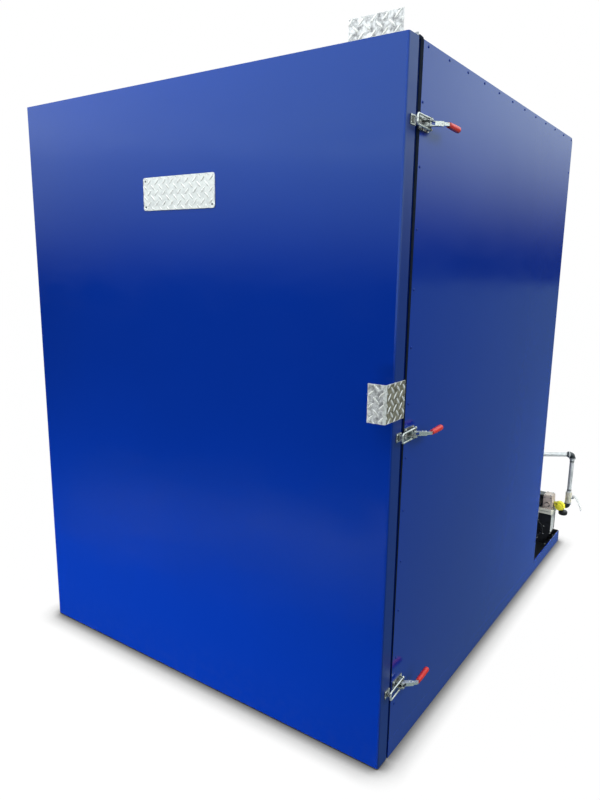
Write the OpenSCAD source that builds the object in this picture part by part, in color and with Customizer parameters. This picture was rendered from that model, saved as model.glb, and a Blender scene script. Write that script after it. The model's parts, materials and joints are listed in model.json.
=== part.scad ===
// Gas-fired powder coating oven: a walk-up insulated box on a skid, with one full-width door,
// three toggle clamps, and a burner with its gas train on a platform behind.
// The origin is on the floor, at the middle of the front cross member. +X is to the right of someone
// who faces the door, +Y points to the back and +Z up.

/* [Oven] */
// Width of the oven over both side walls
body_w = 1524; // [1100:1:2000]
// Height from the floor to the top of the roof
body_h = 2007; // [1500:1:2600]
// Depth of the oven behind its front plane, without the platform
body_d = 1530; // [900:1:2400]
// Length of the burner platform behind the rear wall
platform_l = 477; // [420:1:800]
// Radius of the clip at the rear top corner of a side sheet
corner_clip = 14; // [4:1:30]

/* [Base] */
// Height of the skid rails
rail_h = 58; // [50:1:80]
// Width of a rail's flanges
rail_w = 50; // [30:1:70]
// Thickness of the rail steel
rail_t = 5; // [3:0.5:8]
// Width of a cross member
cross_w = 50; // [30:1:70]
// Wall thickness of a cross member
cross_t = 4; // [2:0.5:6]
// Thickness of the platform plate
plate_t = 3; // [2:0.5:6]

/* [Walls] */
// Thickness of an insulated side wall, from its outer skin to its liner
wall_t = 152; // [100:1:200]
// Thickness of the rear wall
rear_t = 152; // [100:1:200]
// Thickness of the roof
roof_t = 102; // [75:1:180]
// Thickness of the insulated floor
floor_t = 52; // [30:1:100]
// Thickness of the outer side sheets
skin_t = 2; // [1:0.5:4]
// Thickness of the liner sheets
liner_t = 2; // [1:0.5:4]
// Depth of the steel frame round the door opening
frame_d = 40; // [25:1:70]
// How far the front edge of a side sheet leans back from bottom to top
skin_lean = 17; // [0:1:25]

/* [Door] */
// Thickness of the door
door_t = 55; // [45:1:90]
// Gap between the closed door and the front frame, filled by the seal
door_gap = 9; // [6:0.5:16]
// Height of the door's lower edge over the floor
door_lift = 5; // [3:1:20]
// Radius of the door's front vertical edges
door_front_r = 6; // [2:0.5:15]
// Radius of the door's rear vertical edges
door_rear_r = 3; // [1:0.5:8]
// Width of the seal strip
seal_w = 34; // [20:1:60]
// How far the seal strip stays inside the outline of the oven
seal_inset = 6; // [4:0.5:15]
// Clearance between the seal and the closed door
seal_play = 0.3; // [0.2:0.05:1]
// How far the door's inner sheet stays inside the opening on each side
door_sheet_inset = 15; // [8:1:40]

/* [Door plates] */
// Thickness of the checker plate
checker_t = 3; // [2:0.5:5]
// Width of the bare nameplate
name_w = 306; // [150:1:500]
// Height of the bare nameplate
name_h = 101; // [50:1:200]
// Distance of the nameplate's middle below the top of the door
name_from_top = 330.5; // [120:0.5:500]
// How far the nameplate's middle is left of the door's middle
name_left = 5; // [0:1:100]
// Corner radius of the nameplate
name_r = 8; // [2:1:25]
// Height of the door handle plate
handle_h = 104; // [60:1:200]
// Height of the handle's middle over the middle clamp
handle_over_clamp = 102; // [84:1:250]
// How far the front leg of the handle stands before the door
handle_reach = 50; // [30:1:80]
// Width of the front leg of the handle, from the bend
handle_leg = 54; // [30:1:90]
// How far the side leg of the handle reaches back past the door
handle_tail = 5; // [0:1:6]
// Outer radius of the handle's bend
handle_r = 8; // [4:0.5:12]
// Width of the bracket on top of the door
bracket_w = 151; // [80:1:250]
// Height of the bracket on top of the door
bracket_h = 51; // [30:1:80]
// Depth of the bracket's flat foot
bracket_foot = 48; // [25:1:54]
// Distance of the bracket from the door's right end
bracket_from_end = 17; // [5:1:200]

/* [Hinges] */
// Radius of the hinge pins
pin_r = 5; // [3:0.5:8]
// Radial running clearance of the hinge pins
pin_play = 0.1; // [0.02:0.01:0.1]
// Outer radius of the hinge knuckles
knuckle_r = 8; // [6.5:0.5:12]
// Height of a whole hinge
hinge_h = 120; // [80:1:200]
// Thickness of the hinge leaves
leaf_t = 3; // [2:0.5:5]
// Width of a hinge leaf on its door or frame
leaf_w = 50; // [30:1:54]
// Distance of the hinge pin from the side face
hinge_off = 14; // [12:0.5:20]
// Axial gap between the knuckles
knuckle_gap = 1; // [0.5:0.1:3]
// Distance of the lowest and the highest hinge's middle from the ends of the door
hinge_from_end = 250; // [80:1:400]

/* [Clamps] */
// Height of the lowest clamp over the floor
clamp_z_low = 238; // [150:1:400]
// How far the middle clamp sits over the middle of the oven's height
clamp_mid_up = 8.5; // [0:0.5:80]
// Distance of the highest clamp below the top of the oven
clamp_from_top = 192; // [80:1:400]
// Length of a clamp's base plate
base_l = 58; // [50:1:80]
// Height of a clamp's base plate
base_h = 34; // [28:1:60]
// Thickness of a clamp's base plate
base_t = 3; // [2:0.5:4]
// Distance of the base plate from the front plane of the oven
base_from_front = 6; // [4:1:15]
// Distance of the lever pin behind the front plane
lever_pin_u = 34; // [30:1:40]
// Distance of the lever pin from the side face
lever_pin_v = 20; // [18:1:26]
// Radius of the lever pin and the hook pin
clamp_pin_r = 3; // [2:0.25:4]
// Radial running clearance of the clamp pins
clamp_pin_play = 0.1; // [0.02:0.01:0.1]
// Distance between lever pin and hook pin along the wall
hook_pin_du = 13; // [12:0.5:16]
// Distance between lever pin and hook pin across the wall
hook_pin_dv = 6; // [3:0.5:8]
// Thickness of the clamp's side plates
cheek_t = 1.8; // [1.5:0.1:3]
// Clear width inside the lever's side plates
cheek_gap = 8.2; // [6:0.1:10]
// Play between the lever's side plates and the ears of the base
ear_play = 0.6; // [0.5:0.1:1]
// Thickness of the hook rods
hook_d = 5; // [4:0.5:6]
// Distance between the middles of the two hook rods
hook_pitch = 26; // [25:0.5:36]
// Distance of the hook's cross bar before the front plane
hook_reach = 36; // [34:1:40]
// Distance of the cross bar's middle from the side face
hook_v = 18; // [16:0.5:24]
// Bend radius of the hook
hook_bend = 6; // [4:0.5:10]
// Diameter of the red grips
grip_d = 17; // [12:0.5:20]
// Length of the red grips
grip_l = 78; // [50:1:110]

/* [Burner] */
// Smallest radius of the blower's spiral housing
scroll_r = 62; // [40:1:66]
// How much the radius of the spiral grows with each quarter turn
scroll_step = 8; // [4:1:10]
// How far the blower's outlet rises over the spiral
outlet_rise = 36; // [20:1:60]
// Width of the blower's outlet
outlet_w = 62; // [40:1:66]
// Depth of the blower housing
blower_d = 87; // [60:1:140]
// Thickness of the sheet wrapped round the spiral
cover_t = 3; // [1:0.5:5]
// Thickness of the blower's end plates
end_plate_t = 4; // [2:0.5:6]
// How far the end plates stand out over the wrap
rim_over = 2; // [1:0.5:4]
// Height of the feet on the end plates
blower_foot = 14; // [8:1:25]
// Outer radius of the air intake ring
intake_r = 48; // [30:1:54]
// Length of the air intake ring
intake_l = 8; // [4:1:16]
// Radius of the motor on the back of the blower
motor_r = 46; // [24:1:54]
// Length of the motor on the back of the blower
motor_l = 12; // [8:1:15]
// Distance of the blower's right face from the side face of the oven
blower_in = 24; // [12:1:120]
// Distance of the blower's back from the platform's rear edge
blower_from_rear = 24; // [22:1:80]
// Width of the pale flange on the blower
flange_w = 136; // [120:1:200]
// Thickness of the pale flange on the blower
flange_t = 28; // [14:1:40]
// How far the flange stands out over the blower
flange_over = 6; // [3:0.5:12]
// Depth and height of the groove round the middle of the flange
flange_groove = 3; // [1:0.5:5]
// Width of the cast burner head at its top
head_w = 43; // [40:1:80]
// Height of the cast burner head
head_h = 74; // [66:1:110]
// How much wider the foot of the burner head is than its top
head_flare = 5; // [0:1:16]
// Outer radius of the round cover on the front of the head
sight_r = 15; // [10:0.5:18]
// Depth of the groove in the round cover
sight_groove = 7; // [3:0.5:10]
// Width of the black box beside the head
box_w = 78; // [72:1:110]
// How much lower the black box is than the head
box_drop = 4; // [0:1:15]
// Radius of the burner tube
tube_r = 32; // [20:1:33]
// Radius of the tube's flange on the rear wall
tube_flange_r = 55; // [45:1:90]
// Thickness of the tube's flange
tube_flange_t = 8; // [4:1:15]
// Height of the upstand along the platform's rear edge over the rails
upstand_h = 2; // [0:1:40]

/* [Gas train] */
// Outer diameter of the gas pipe
pipe_d = 21.3; // [17.2:0.1:22.5]
// Wall thickness of the gas pipe
pipe_t = 2.7; // [2:0.1:3.5]
// Distance of the upright pipe from the side face of the oven
riser_out = 46; // [45:1:80]
// Height of the upper elbow's middle over the floor
elbow_z = 513; // [440:1:700]
// Distance of the gas line from the blower's front face
gas_from_front = 39.5; // [30:0.5:50]
// Height of the gas line through the regulator over the burner head's foot
gas_line_up = 24; // [20:0.5:40]
// Diameter of the yellow regulator cap
regulator_d = 54; // [40:1:54]
// Thickness of the regulator's diaphragm housing
regulator_t = 14; // [8:1:20]
// Distance between the regulator's middle and the upright pipe
regulator_off = 35; // [34:1:60]
// Diameter of the black knob
knob_d = 43; // [30:1:46]
// Height of the black knob
knob_h = 21; // [12:1:26]
// Height of the shut-off valve between its fittings
valve_h = 54; // [48:1:80]
// Length of the valve's spindle from the middle of the pipe
spindle_l = 16; // [15.5:0.5:24]
// Width of the valve's lever
valve_lever_w = 14; // [8:1:20]
// Thickness of the valve's lever
valve_lever_t = 3; // [2:0.5:4]
// Length of the gas inlet pipe from the elbow's middle
inlet_l = 240; // [120:1:400]
// Direction of the gas inlet pipe, in degrees from the rear wall
inlet_turn = 35; // [0:1:60]
// Outer diameter of the pipe fittings
fitting_d = 31; // [28:0.5:36]
// Bend radius of the elbows
elbow_bend = 14; // [13.5:0.5:20]
// Length of the collar at each end of an elbow
elbow_collar = 10; // [6:0.5:14]

/* [Hidden] */
$fn = 48;

// Planes of the oven
half_w = body_w / 2;
front_y = -cross_w / 2;
rear_y = front_y + body_d;
base_end_y = rear_y + platform_l;
door_back_y = front_y - door_gap;
door_front_y = door_back_y - door_t;
cavity_half = half_w - wall_t;
floor_z = rail_h + floor_t;
cavity_top = body_h - roof_t;
core_half = half_w - skin_t;
core_rear = rear_y - skin_t;

// Door hinges
hinge_x = -half_w - hinge_off;
hinge_y = (front_y + door_back_y) / 2;
hinge_z_low = door_lift + hinge_from_end;
hinge_z_high = body_h - hinge_from_end;
hinge_zs = [hinge_z_low, (hinge_z_low + hinge_z_high) / 2, hinge_z_high];
knuckle_h = (hinge_h - 2 * knuckle_gap) / 3;

// Heights of the clamps and of what is placed by them
clamp_z_mid = body_h / 2 + clamp_mid_up;
clamp_z_high = body_h - clamp_from_top;
clamp_zs = [clamp_z_low, clamp_z_mid, clamp_z_high];
name_z = body_h - name_from_top;
handle_z = clamp_z_mid + handle_over_clamp;

// Clamp sketch: u runs back from the front plane, v out from the side face
hook_pin_u = lever_pin_u + hook_pin_du;
hook_pin_v = lever_pin_v - hook_pin_dv;
ear_r = 8;
ear_z = cheek_gap / 2 + cheek_t + ear_play;
boss_r = 6.5;
lever_pin = [lever_pin_u, lever_pin_v];
hook_pin = [hook_pin_u, hook_pin_v];
waist = lever_pin + [28, 22];
grip_from = lever_pin + [37, 30];
grip_drop = 4;
grip_to = grip_from + [grip_l, -grip_drop];
waist_r = 6;
cheek_slot_v = lever_pin_v + 9;
ear_foot = 12;
ear_neck = 7.6;
pin_head_r = 5;
pin_head_t = 1.2;
bar_r = 4.5;
bar_t = 8;
bar_lap = 2;
bar_play = 0.15;
grip_start = 8;
grip_start_r = 7.2;
grip_end_wall = 7.5;
grip_waves = [[0.25, 0.9], [0.5, 0.96], [0.75, 1]];
catch_from = -42;
catch_to = -14;
catch_h = 24;
lip_at = -31.8;
lip_t = 4;
lip_top = 14;
lip_h = 15;
lip_foot = 7;
nut_r = 4.2;
nut_t = 5;
nut_off = 1;
hook_tail = 7;

// Burner: the blower's spiral has quarter arcs round three corners of a small square
deck_z = rail_t + plate_t;
blower_x1 = half_w - blower_in;
blower_y1 = base_end_y - blower_from_rear;
blower_y0 = blower_y1 - blower_d;
scroll_x = blower_x1 - scroll_r - 3 * scroll_step;
scroll_z = deck_z + rim_over + scroll_r + scroll_step;
scroll_mid = [scroll_x + scroll_step / 2, scroll_z + scroll_step / 2];
blower_top = scroll_z + scroll_r + outlet_rise;
fit_gap = 0.3;
past = 1;
intake_wall = 5;
guard_bars = 6;
guard_w = 3;
guard_back = 2;
guard_hub_r = 9;
motor_edge = 4;
flange_corner = 8;
head_z = blower_top + flange_t;
head_top = head_z + head_h;
head_y0 = blower_y0;
head_from_back = 20;
head_y1 = blower_y1 - head_from_back;
head_in = 3;
head_x1 = blower_x1 - head_in;
head_x0 = head_x1 - head_w;
head_lid_t = 6;
head_lid_in = 3;
sight_left = 21;
sight_up = 24;
sight_x = head_x1 - sight_left;
sight_z = head_z + sight_up;
sight_out = 3;
sight_ring = 4.5;
sight_rim = 1;
sight_tilt = -20;
box_back = 8;
box_y0 = head_y0 + box_back;
box_edge = 5;
box_z1 = head_top - box_drop;
tube_x = head_x0 - box_w / 2;
tube_z = (head_z + box_z1) / 2;
tube_band = 10;
tube_band_over = 2;

// Gas train
gas_y = blower_y0 + gas_from_front;
gas_z = head_z + gas_line_up;
riser_x = half_w + riser_out;
regulator_x = riser_x - regulator_off;
fitting_r = fitting_d / 2;
pipe_r = pipe_d / 2;
elbow_inner_r = 1;
elbow_r = elbow_bend - elbow_inner_r;
elbow_end = elbow_bend + elbow_collar;
side_collar_less = 3;
side_collar = elbow_end - side_collar_less;
hub_r = 12.5;
hub_x0 = head_x1 + head_flare;
neck_r = regulator_off - side_collar - fit_gap;
neck_back = 10;
disc_off = fitting_r + 2 * fit_gap;
regulator_rim = 5;
regulator_edge = 2;
regulator_slope = 6;
regulator_face_r = regulator_d / 2 - regulator_slope;
cap_r = 12;
cap_t = 4;
regulator_boss_r = 7;
regulator_boss_off = 7;
regulator_boss_x = regulator_x + regulator_boss_off;
boss_l = 5;
boss_bottom = gas_z - hub_r - boss_l;
cock_d = 18;
cock_w = 20;
cock_h = 12;
knob_left = 20;
knob_x = riser_x - knob_left;
knob_edge = 3;
drain_r = 5.5;
drain_l = 20;
valve_bottom = gas_z + elbow_end;
valve_end_r = 16;
valve_end_h = 13;
valve_body_r = 15;
lever_x = riser_x + spindle_l;
lever_z = valve_bottom + valve_h / 2;
spindle_r = 6;
lever_hub_r = 9;
lever_hub_t = 4;
lever_step = 4;
lever_top_r = 9;
lever_long_r = 200;
lever_turn = 40;
lever_end_turn = 17;
lever_lap = 0.4;
seal_ring_over = 1.4;
seal_ring_r = pipe_r + seal_ring_over;
seal_ring_h = 8;
coupling_l = 36;
coupling_in = 20;
pipe_play = 0.3;

// Extrudes a sketch of x and z from y0 to y1
module along_y(y0, y1) {
    translate([0, y1, 0]) rotate([90, 0, 0]) linear_extrude(y1 - y0) children();
}

// Extrudes a sketch of y and z from x0 to x1
module along_x(x0, x1) {
    translate([x0, 0, 0]) rotate([90, 0, 90]) linear_extrude(x1 - x0) children();
}

// A block from one corner to the other
module block(low, high) {
    translate(low) cube(high - low);
}

// Flat outline with a radius at each corner
module round_plate(w, h, r) {
    union() {
        translate([-w / 2 + r, -h / 2]) square([w - 2 * r, h]);
        translate([-w / 2, -h / 2 + r]) square([w, h - 2 * r]);
        for (sx = [-1, 1], sy = [-1, 1])
            translate([sx * (w / 2 - r), sy * (h / 2 - r)]) circle(r);
    }
}

// Places the sketch of a clamp: its x is u, its y is v
module at_clamp(z) {
    translate([half_w, front_y, z]) rotate(a = 180, v = [1, 1, 0]) children();
}

// Base

module rail_profile() {
    difference() {
        translate([half_w - rail_w, 0]) square([rail_w, rail_h]);
        translate([half_w - rail_w - past, rail_t])
            square([rail_w + past - rail_t, rail_h - 2 * rail_t]);
    }
}

// The rail behind the oven, without its upper flange
module curb_profile() {
    union() {
        translate([half_w - rail_t, 0]) square([rail_t, rail_h]);
        translate([half_w - rail_w, 0]) square([rail_w, rail_t]);
    }
}

module base_rails() {
    color("royalblue")
    for (side = [0, 1]) mirror([side, 0, 0]) union() {
        along_y(front_y, rear_y) rail_profile();
        along_y(rear_y - past, base_end_y) curb_profile();
    }
}

module cross_member(y) {
    reach = half_w - rail_w;
    difference() {
        block([-reach, y - cross_w / 2, 0], [reach, y + cross_w / 2, rail_h]);
        block([-reach - past, y - cross_w / 2 + cross_t, cross_t],
              [reach + past, y + cross_w / 2 - cross_t, rail_h - cross_t]);
    }
}

module cross_members() {
    color("midnightblue")
    for (y = [0, (rear_y - cross_w) / 2, rear_y - cross_w / 2]) cross_member(y);
}

// Plate on the rails' lower flanges, bent up along its rear edge
module rear_platform() {
    reach = half_w - rail_t;
    color([0.09, 0.09, 0.1])
    union() {
        block([-reach, rear_y, rail_t], [reach, base_end_y, deck_z]);
        block([-reach, base_end_y - plate_t, rail_t], [reach, base_end_y, rail_h + upstand_h]);
    }
}

// Insulated box

module floor_panel() {
    color("silver")
    block([-cavity_half, front_y + frame_d, rail_h], [cavity_half, core_rear, floor_z - liner_t]);
}

module side_wall() {
    block([cavity_half, front_y + frame_d, rail_h], [core_half, core_rear, cavity_top]);
}

module left_wall() {
    color("lightsteelblue") mirror([1, 0, 0]) side_wall();
}

module right_wall() {
    color("lightsteelblue") side_wall();
}

// Rear wall with the outer sheet that covers the whole back
module rear_wall() {
    color("royalblue")
    union() {
        block([-cavity_half, rear_y - rear_t, floor_z - liner_t], [cavity_half, rear_y, cavity_top]);
        block([-core_half, core_rear, rail_h], [core_half, rear_y, body_h]);
    }
}

module roof_panel() {
    color("royalblue")
    block([-core_half, front_y + frame_d, cavity_top], [core_half, core_rear, body_h]);
}

module front_frame() {
    color("slategray")
    difference() {
        block([-core_half, front_y, rail_h], [core_half, front_y + frame_d, body_h]);
        block([-cavity_half, front_y - past, floor_z - liner_t],
              [cavity_half, front_y + frame_d + past, cavity_top]);
    }
}

// Side sheet with its leaning front edge and clipped rear corner
module skin_outline() {
    polygon([
        [front_y, rail_h],
        [rear_y, rail_h],
        [rear_y, body_h - corner_clip],
        [rear_y - corner_clip, body_h],
        [front_y + skin_lean, body_h]
    ]);
}

module right_skin() {
    color("royalblue") along_x(core_half, half_w) skin_outline();
}

module left_skin() {
    color("royalblue") mirror([1, 0, 0]) along_x(core_half, half_w) skin_outline();
}

module cavity_liner() {
    color("gainsboro")
    difference() {
        block([-cavity_half, front_y, floor_z - liner_t], [cavity_half, rear_y - rear_t, cavity_top]);
        block([-cavity_half + liner_t, front_y - past, floor_z],
              [cavity_half - liner_t, rear_y - rear_t - liner_t, cavity_top - liner_t]);
    }
}

// The strip that the door closes on, and the sides that fill beside the leaning sheets
module door_seal() {
    outer = half_w - seal_inset;
    inner = outer - seal_w;
    color([0.05, 0.05, 0.06]) {
        difference() {
            block([-outer, door_back_y + seal_play, rail_h + seal_inset],
                  [outer, front_y, body_h - seal_inset]);
            block([-inner, door_back_y, rail_h + seal_inset + seal_w],
                  [inner, front_y + past, body_h - seal_inset - seal_w]);
        }
        for (side = [0, 1]) mirror([side, 0, 0])
            along_x(core_half, half_w)
                polygon([[front_y, rail_h], [front_y + skin_lean, body_h], [front_y, body_h]]);
    }
}

// Door

module door_outline() {
    union() {
        translate([-half_w, door_front_y + door_front_r])
            square([body_w, door_t - door_front_r - door_rear_r]);
        translate([-half_w + door_front_r, door_front_y])
            square([body_w - 2 * door_front_r, door_front_r]);
        translate([-half_w + door_rear_r, door_back_y - door_rear_r])
            square([body_w - 2 * door_rear_r, door_rear_r]);
        for (side = [-1, 1]) {
            translate([side * (half_w - door_front_r), door_front_y + door_front_r])
                circle(door_front_r);
            translate([side * (half_w - door_rear_r), door_back_y - door_rear_r])
                circle(door_rear_r);
        }
    }
}

module door_panel() {
    color("royalblue")
    translate([0, 0, door_lift]) linear_extrude(body_h - door_lift) door_outline();
}

module door_sheet() {
    half = cavity_half - door_sheet_inset;
    color("gainsboro")
    block([-half, door_back_y, floor_z + door_sheet_inset],
          [half, door_back_y + liner_t, cavity_top - door_sheet_inset]);
}

module nameplate() {
    color("silver")
    translate([-name_left, 0, name_z])
        along_y(door_front_y - checker_t, door_front_y) round_plate(name_w, name_h, name_r);
}

module door_handle() {
    lead = door_front_y - handle_reach;
    out = half_w + checker_t;
    color("silver")
    translate([0, 0, handle_z - handle_h / 2]) linear_extrude(handle_h)
    union() {
        translate([half_w, lead + handle_r])
            square([checker_t, door_back_y + handle_tail - lead - handle_r]);
        translate([out - handle_leg, lead]) square([handle_leg - handle_r, checker_t]);
        intersection() {
            translate([out - handle_r, lead + handle_r]) difference() {
                circle(handle_r);
                circle(handle_r - checker_t);
            }
            translate([out - handle_r, lead]) square(handle_r);
        }
    }
}

module top_bracket() {
    right = half_w - bracket_from_end;
    color("silver")
    union() {
        block([right - bracket_w, door_front_y + checker_t, body_h],
              [right, door_front_y + bracket_foot, body_h + checker_t]);
        block([right - bracket_w, door_front_y, body_h],
              [right, door_front_y + checker_t, body_h + bracket_h]);
    }
}

// Hinges: the frame leaf has the outer knuckles and the pin, the door leaf the middle knuckle

module knuckle(z, r) {
    translate([hinge_x, hinge_y, z]) cylinder(h = knuckle_h, r = r);
}

module frame_leaf(z) {
    low = z - hinge_h / 2;
    union() {
        for (k = [low, low + 2 * (knuckle_h + knuckle_gap)]) {
            knuckle(k, knuckle_r);
            block([hinge_x, hinge_y, k], [-half_w, hinge_y + knuckle_r, k + knuckle_h]);
        }
        translate([hinge_x, hinge_y, low]) cylinder(h = hinge_h, r = pin_r);
        block([-half_w - leaf_t, hinge_y + knuckle_r, low],
              [-half_w, front_y + leaf_w, low + hinge_h]);
    }
}

module door_leaf(z) {
    low = z - knuckle_h / 2;
    difference() {
        union() {
            knuckle(low, knuckle_r);
            block([hinge_x, hinge_y - knuckle_r, low], [-half_w, hinge_y, low + knuckle_h]);
            block([-half_w - leaf_t, door_back_y - leaf_w, z - hinge_h / 2],
                  [-half_w, door_back_y - door_rear_r, z + hinge_h / 2]);
            block([-half_w - leaf_t, door_back_y - door_rear_r, low],
                  [-half_w, hinge_y, low + knuckle_h]);
        }
        translate([hinge_x, hinge_y, low - past])
            cylinder(h = knuckle_h + 2 * past, r = pin_r + pin_play);
    }
}

module frame_hinges() {
    color("royalblue") for (z = hinge_zs) frame_leaf(z);
}

module door_hinges() {
    color("royalblue") for (z = hinge_zs) door_leaf(z);
}

// Clamps

module ear_outline() {
    union() {
        translate([lever_pin_u, lever_pin_v]) circle(ear_r);
        polygon([
            [lever_pin_u - ear_foot, base_t / 2], [lever_pin_u + ear_foot, base_t / 2],
            [lever_pin_u + ear_neck, lever_pin_v], [lever_pin_u - ear_neck, lever_pin_v]
        ]);
    }
}

module clamp_base() {
    pin_end = ear_z + cheek_t + pin_head_t;
    union() {
        translate([base_from_front, 0, -base_h / 2]) cube([base_l, base_t, base_h]);
        for (side = [-1, 1])
            translate([0, 0, side * (ear_z + cheek_t / 2) - cheek_t / 2])
                linear_extrude(cheek_t) ear_outline();
        translate([lever_pin_u, lever_pin_v, -pin_end])
            cylinder(h = 2 * pin_end, r = clamp_pin_r);
        for (low = [-pin_end, pin_end - pin_head_t])
            translate([lever_pin_u, lever_pin_v, low]) cylinder(h = pin_head_t, r = pin_head_r);
    }
}

module clamp_bases() {
    color("gainsboro")
    for (z = clamp_zs) at_clamp(z) clamp_base();
}

// Unit vector square to the left of a direction
function left_of(run) = [-run[1], run[0]] / norm(run);

module slot_between(from, to, r) {
    run = to - from;
    union() {
        translate(from) circle(r);
        translate(to) circle(r);
        translate(from) rotate(atan2(run[1], run[0])) translate([0, -r]) square([norm(run), 2 * r]);
    }
}

module cheek_outline() {
    side = waist_r * left_of(grip_from - waist);
    union() {
        slot_between(lever_pin, hook_pin, boss_r);
        polygon([lever_pin, hook_pin, waist - side, waist + side]);
    }
}

// Flat bar with one bend, mitred at the bend
module bar_outline(from, bend, to, r) {
    first = left_of(bend - from);
    second = left_of(to - bend);
    mitre = (first + second) / (1 + first * second);
    polygon([
        from + r * first, bend + r * mitre, to + r * second,
        to - r * second, bend - r * mitre, from - r * first
    ]);
}

// Stamped lever: two side plates that close to one block at the waist, and a flat bar
module clamp_lever() {
    span = cheek_gap + 2 * cheek_t;
    bar_from = waist - bar_lap * (grip_from - waist) / norm(grip_from - waist);
    difference() {
        union() {
            difference() {
                translate([0, 0, -span / 2]) linear_extrude(span) cheek_outline();
                translate([0, 0, -cheek_gap / 2]) cube([grip_from[0], cheek_slot_v, cheek_gap]);
            }
            translate([0, 0, -bar_t / 2]) linear_extrude(bar_t)
                bar_outline(bar_from, grip_from, grip_to, bar_r);
        }
        for (pin = [lever_pin, hook_pin])
            translate([pin[0], pin[1], -span])
                cylinder(h = 2 * span, r = clamp_pin_r + clamp_pin_play);
    }
}

// Dipped grip: a revolved skin over the end of the lever bar, thicker towards its tip
module clamp_grip() {
    run = grip_to - grip_from;
    r = grip_d / 2;
    end = norm(run) + grip_end_wall;
    hole_r = bar_r + bar_play;
    hole_t = bar_t + 2 * bar_play;
    translate([grip_from[0], grip_from[1], 0]) rotate([0, 0, atan2(run[1], run[0])])
    difference() {
        rotate([0, 90, 0]) rotate_extrude() union() {
            polygon([
                [0, grip_start], [grip_start_r, grip_start],
                for (wave = grip_waves) [r * wave[1], grip_l * wave[0]],
                [r, end - r], [0, end - r]
            ]);
            intersection() {
                translate([0, end - r]) circle(r);
                translate([0, end - r]) square(r);
            }
        }
        translate([0, -hole_r, -hole_t / 2]) cube([norm(run) + bar_play, 2 * hole_r, hole_t]);
    }
}

module clamp_hook() {
    run = [-hook_reach, hook_v] - hook_pin;
    rod_r = hook_d / 2;
    side_z = hook_pitch / 2;
    straight = norm(run) - hook_bend;
    translate([hook_pin_u, hook_pin_v, 0]) rotate([0, 0, atan2(run[1], run[0])])
    union() {
        for (side = [-1, 1]) {
            translate([-hook_tail, 0, side * side_z]) rotate([0, 90, 0])
                cylinder(h = straight + hook_tail, r = rod_r);
            translate([nut_off - hook_tail, 0, side * side_z]) rotate([0, 90, 0])
                cylinder(h = nut_t, r = nut_r, $fn = 6);
            translate([straight, 0, side * (side_z - hook_bend)])
                rotate([90, 0, 0]) rotate([0, 0, side > 0 ? 0 : -90])
                    rotate_extrude(angle = 90) translate([hook_bend, 0]) circle(rod_r);
        }
        translate([norm(run), 0, -side_z + hook_bend])
            cylinder(h = hook_pitch - 2 * hook_bend, r = rod_r);
        translate([0, 0, -side_z]) cylinder(h = hook_pitch, r = clamp_pin_r);
    }
}

module clamp_catch() {
    union() {
        translate([catch_from, 0, -catch_h / 2]) cube([catch_to - catch_from, base_t, catch_h]);
        translate([0, 0, -lip_h / 2]) linear_extrude(lip_h)
            polygon([
                [lip_at, base_t / 2], [lip_at, lip_top], [lip_at + lip_t, lip_top],
                [lip_at + lip_t, base_t + lip_foot / 2], [lip_at + lip_t + lip_foot, base_t / 2]
            ]);
    }
}

module clamp_catches() {
    color("gainsboro")
    for (z = clamp_zs) at_clamp(z) clamp_catch();
}

module lever_at(z) {
    color("gainsboro") at_clamp(z) clamp_lever();
}

module grip_at(z) {
    color("red") at_clamp(z) clamp_grip();
}

module hook_at(z) {
    color("silver") at_clamp(z) clamp_hook();
}

// Burner

module burner_tube() {
    wall_to_box = box_y0 - rear_y;
    color("dimgray")
    translate([tube_x, rear_y, tube_z]) rotate([-90, 0, 0]) union() {
        cylinder(h = wall_to_box, r = tube_r);
        cylinder(h = tube_flange_t, r = tube_flange_r);
        cylinder(h = 2 * tube_flange_t, r = tube_r + tube_flange_t / 2);
        translate([0, 0, wall_to_box / 2]) cylinder(h = tube_band, r = tube_r + tube_band_over);
    }
}

module quarter_disc(x, z, r, turn) {
    translate([x, z]) intersection() {
        circle(r);
        rotate(turn) square(r);
    }
}

// Outline of the spiral and its upright outlet, wider by grow on every side but the top
module scroll_outline(grow) {
    right = blower_x1 + grow;
    union() {
        quarter_disc(scroll_x, scroll_z, scroll_r + grow, 90);
        quarter_disc(scroll_x + scroll_step, scroll_z, scroll_r + scroll_step + grow, 180);
        quarter_disc(scroll_x + scroll_step, scroll_z + scroll_step,
                     scroll_r + 2 * scroll_step + grow, 270);
        translate([scroll_x, scroll_z]) square([scroll_step, scroll_r + grow]);
        translate([scroll_x + scroll_step, scroll_z + scroll_step])
            square([right - scroll_x - scroll_step, scroll_r - scroll_step + grow]);
        translate([blower_x1 - outlet_w - grow, scroll_mid[1]])
            square([outlet_w + 2 * grow, blower_top - scroll_mid[1]]);
    }
}

module end_plate_outline() {
    union() {
        scroll_outline(rim_over);
        translate([scroll_x + scroll_step - scroll_r / 2, deck_z])
            square([blower_x1 + rim_over - scroll_x - scroll_step + scroll_r / 2, blower_foot]);
    }
}

module intake() {
    difference() {
        cylinder(h = intake_l, r = intake_r);
        translate([0, 0, -past]) cylinder(h = intake_l + 2 * past, r = intake_r - intake_wall);
    }
    cylinder(h = intake_l - guard_back, r = guard_hub_r);
    for (bar = [0 : guard_bars - 1])
        rotate([0, 0, bar * 360 / guard_bars])
            translate([0, -guard_w / 2, guard_back])
                cube([intake_r - intake_wall / 2, guard_w, guard_w]);
}

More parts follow.
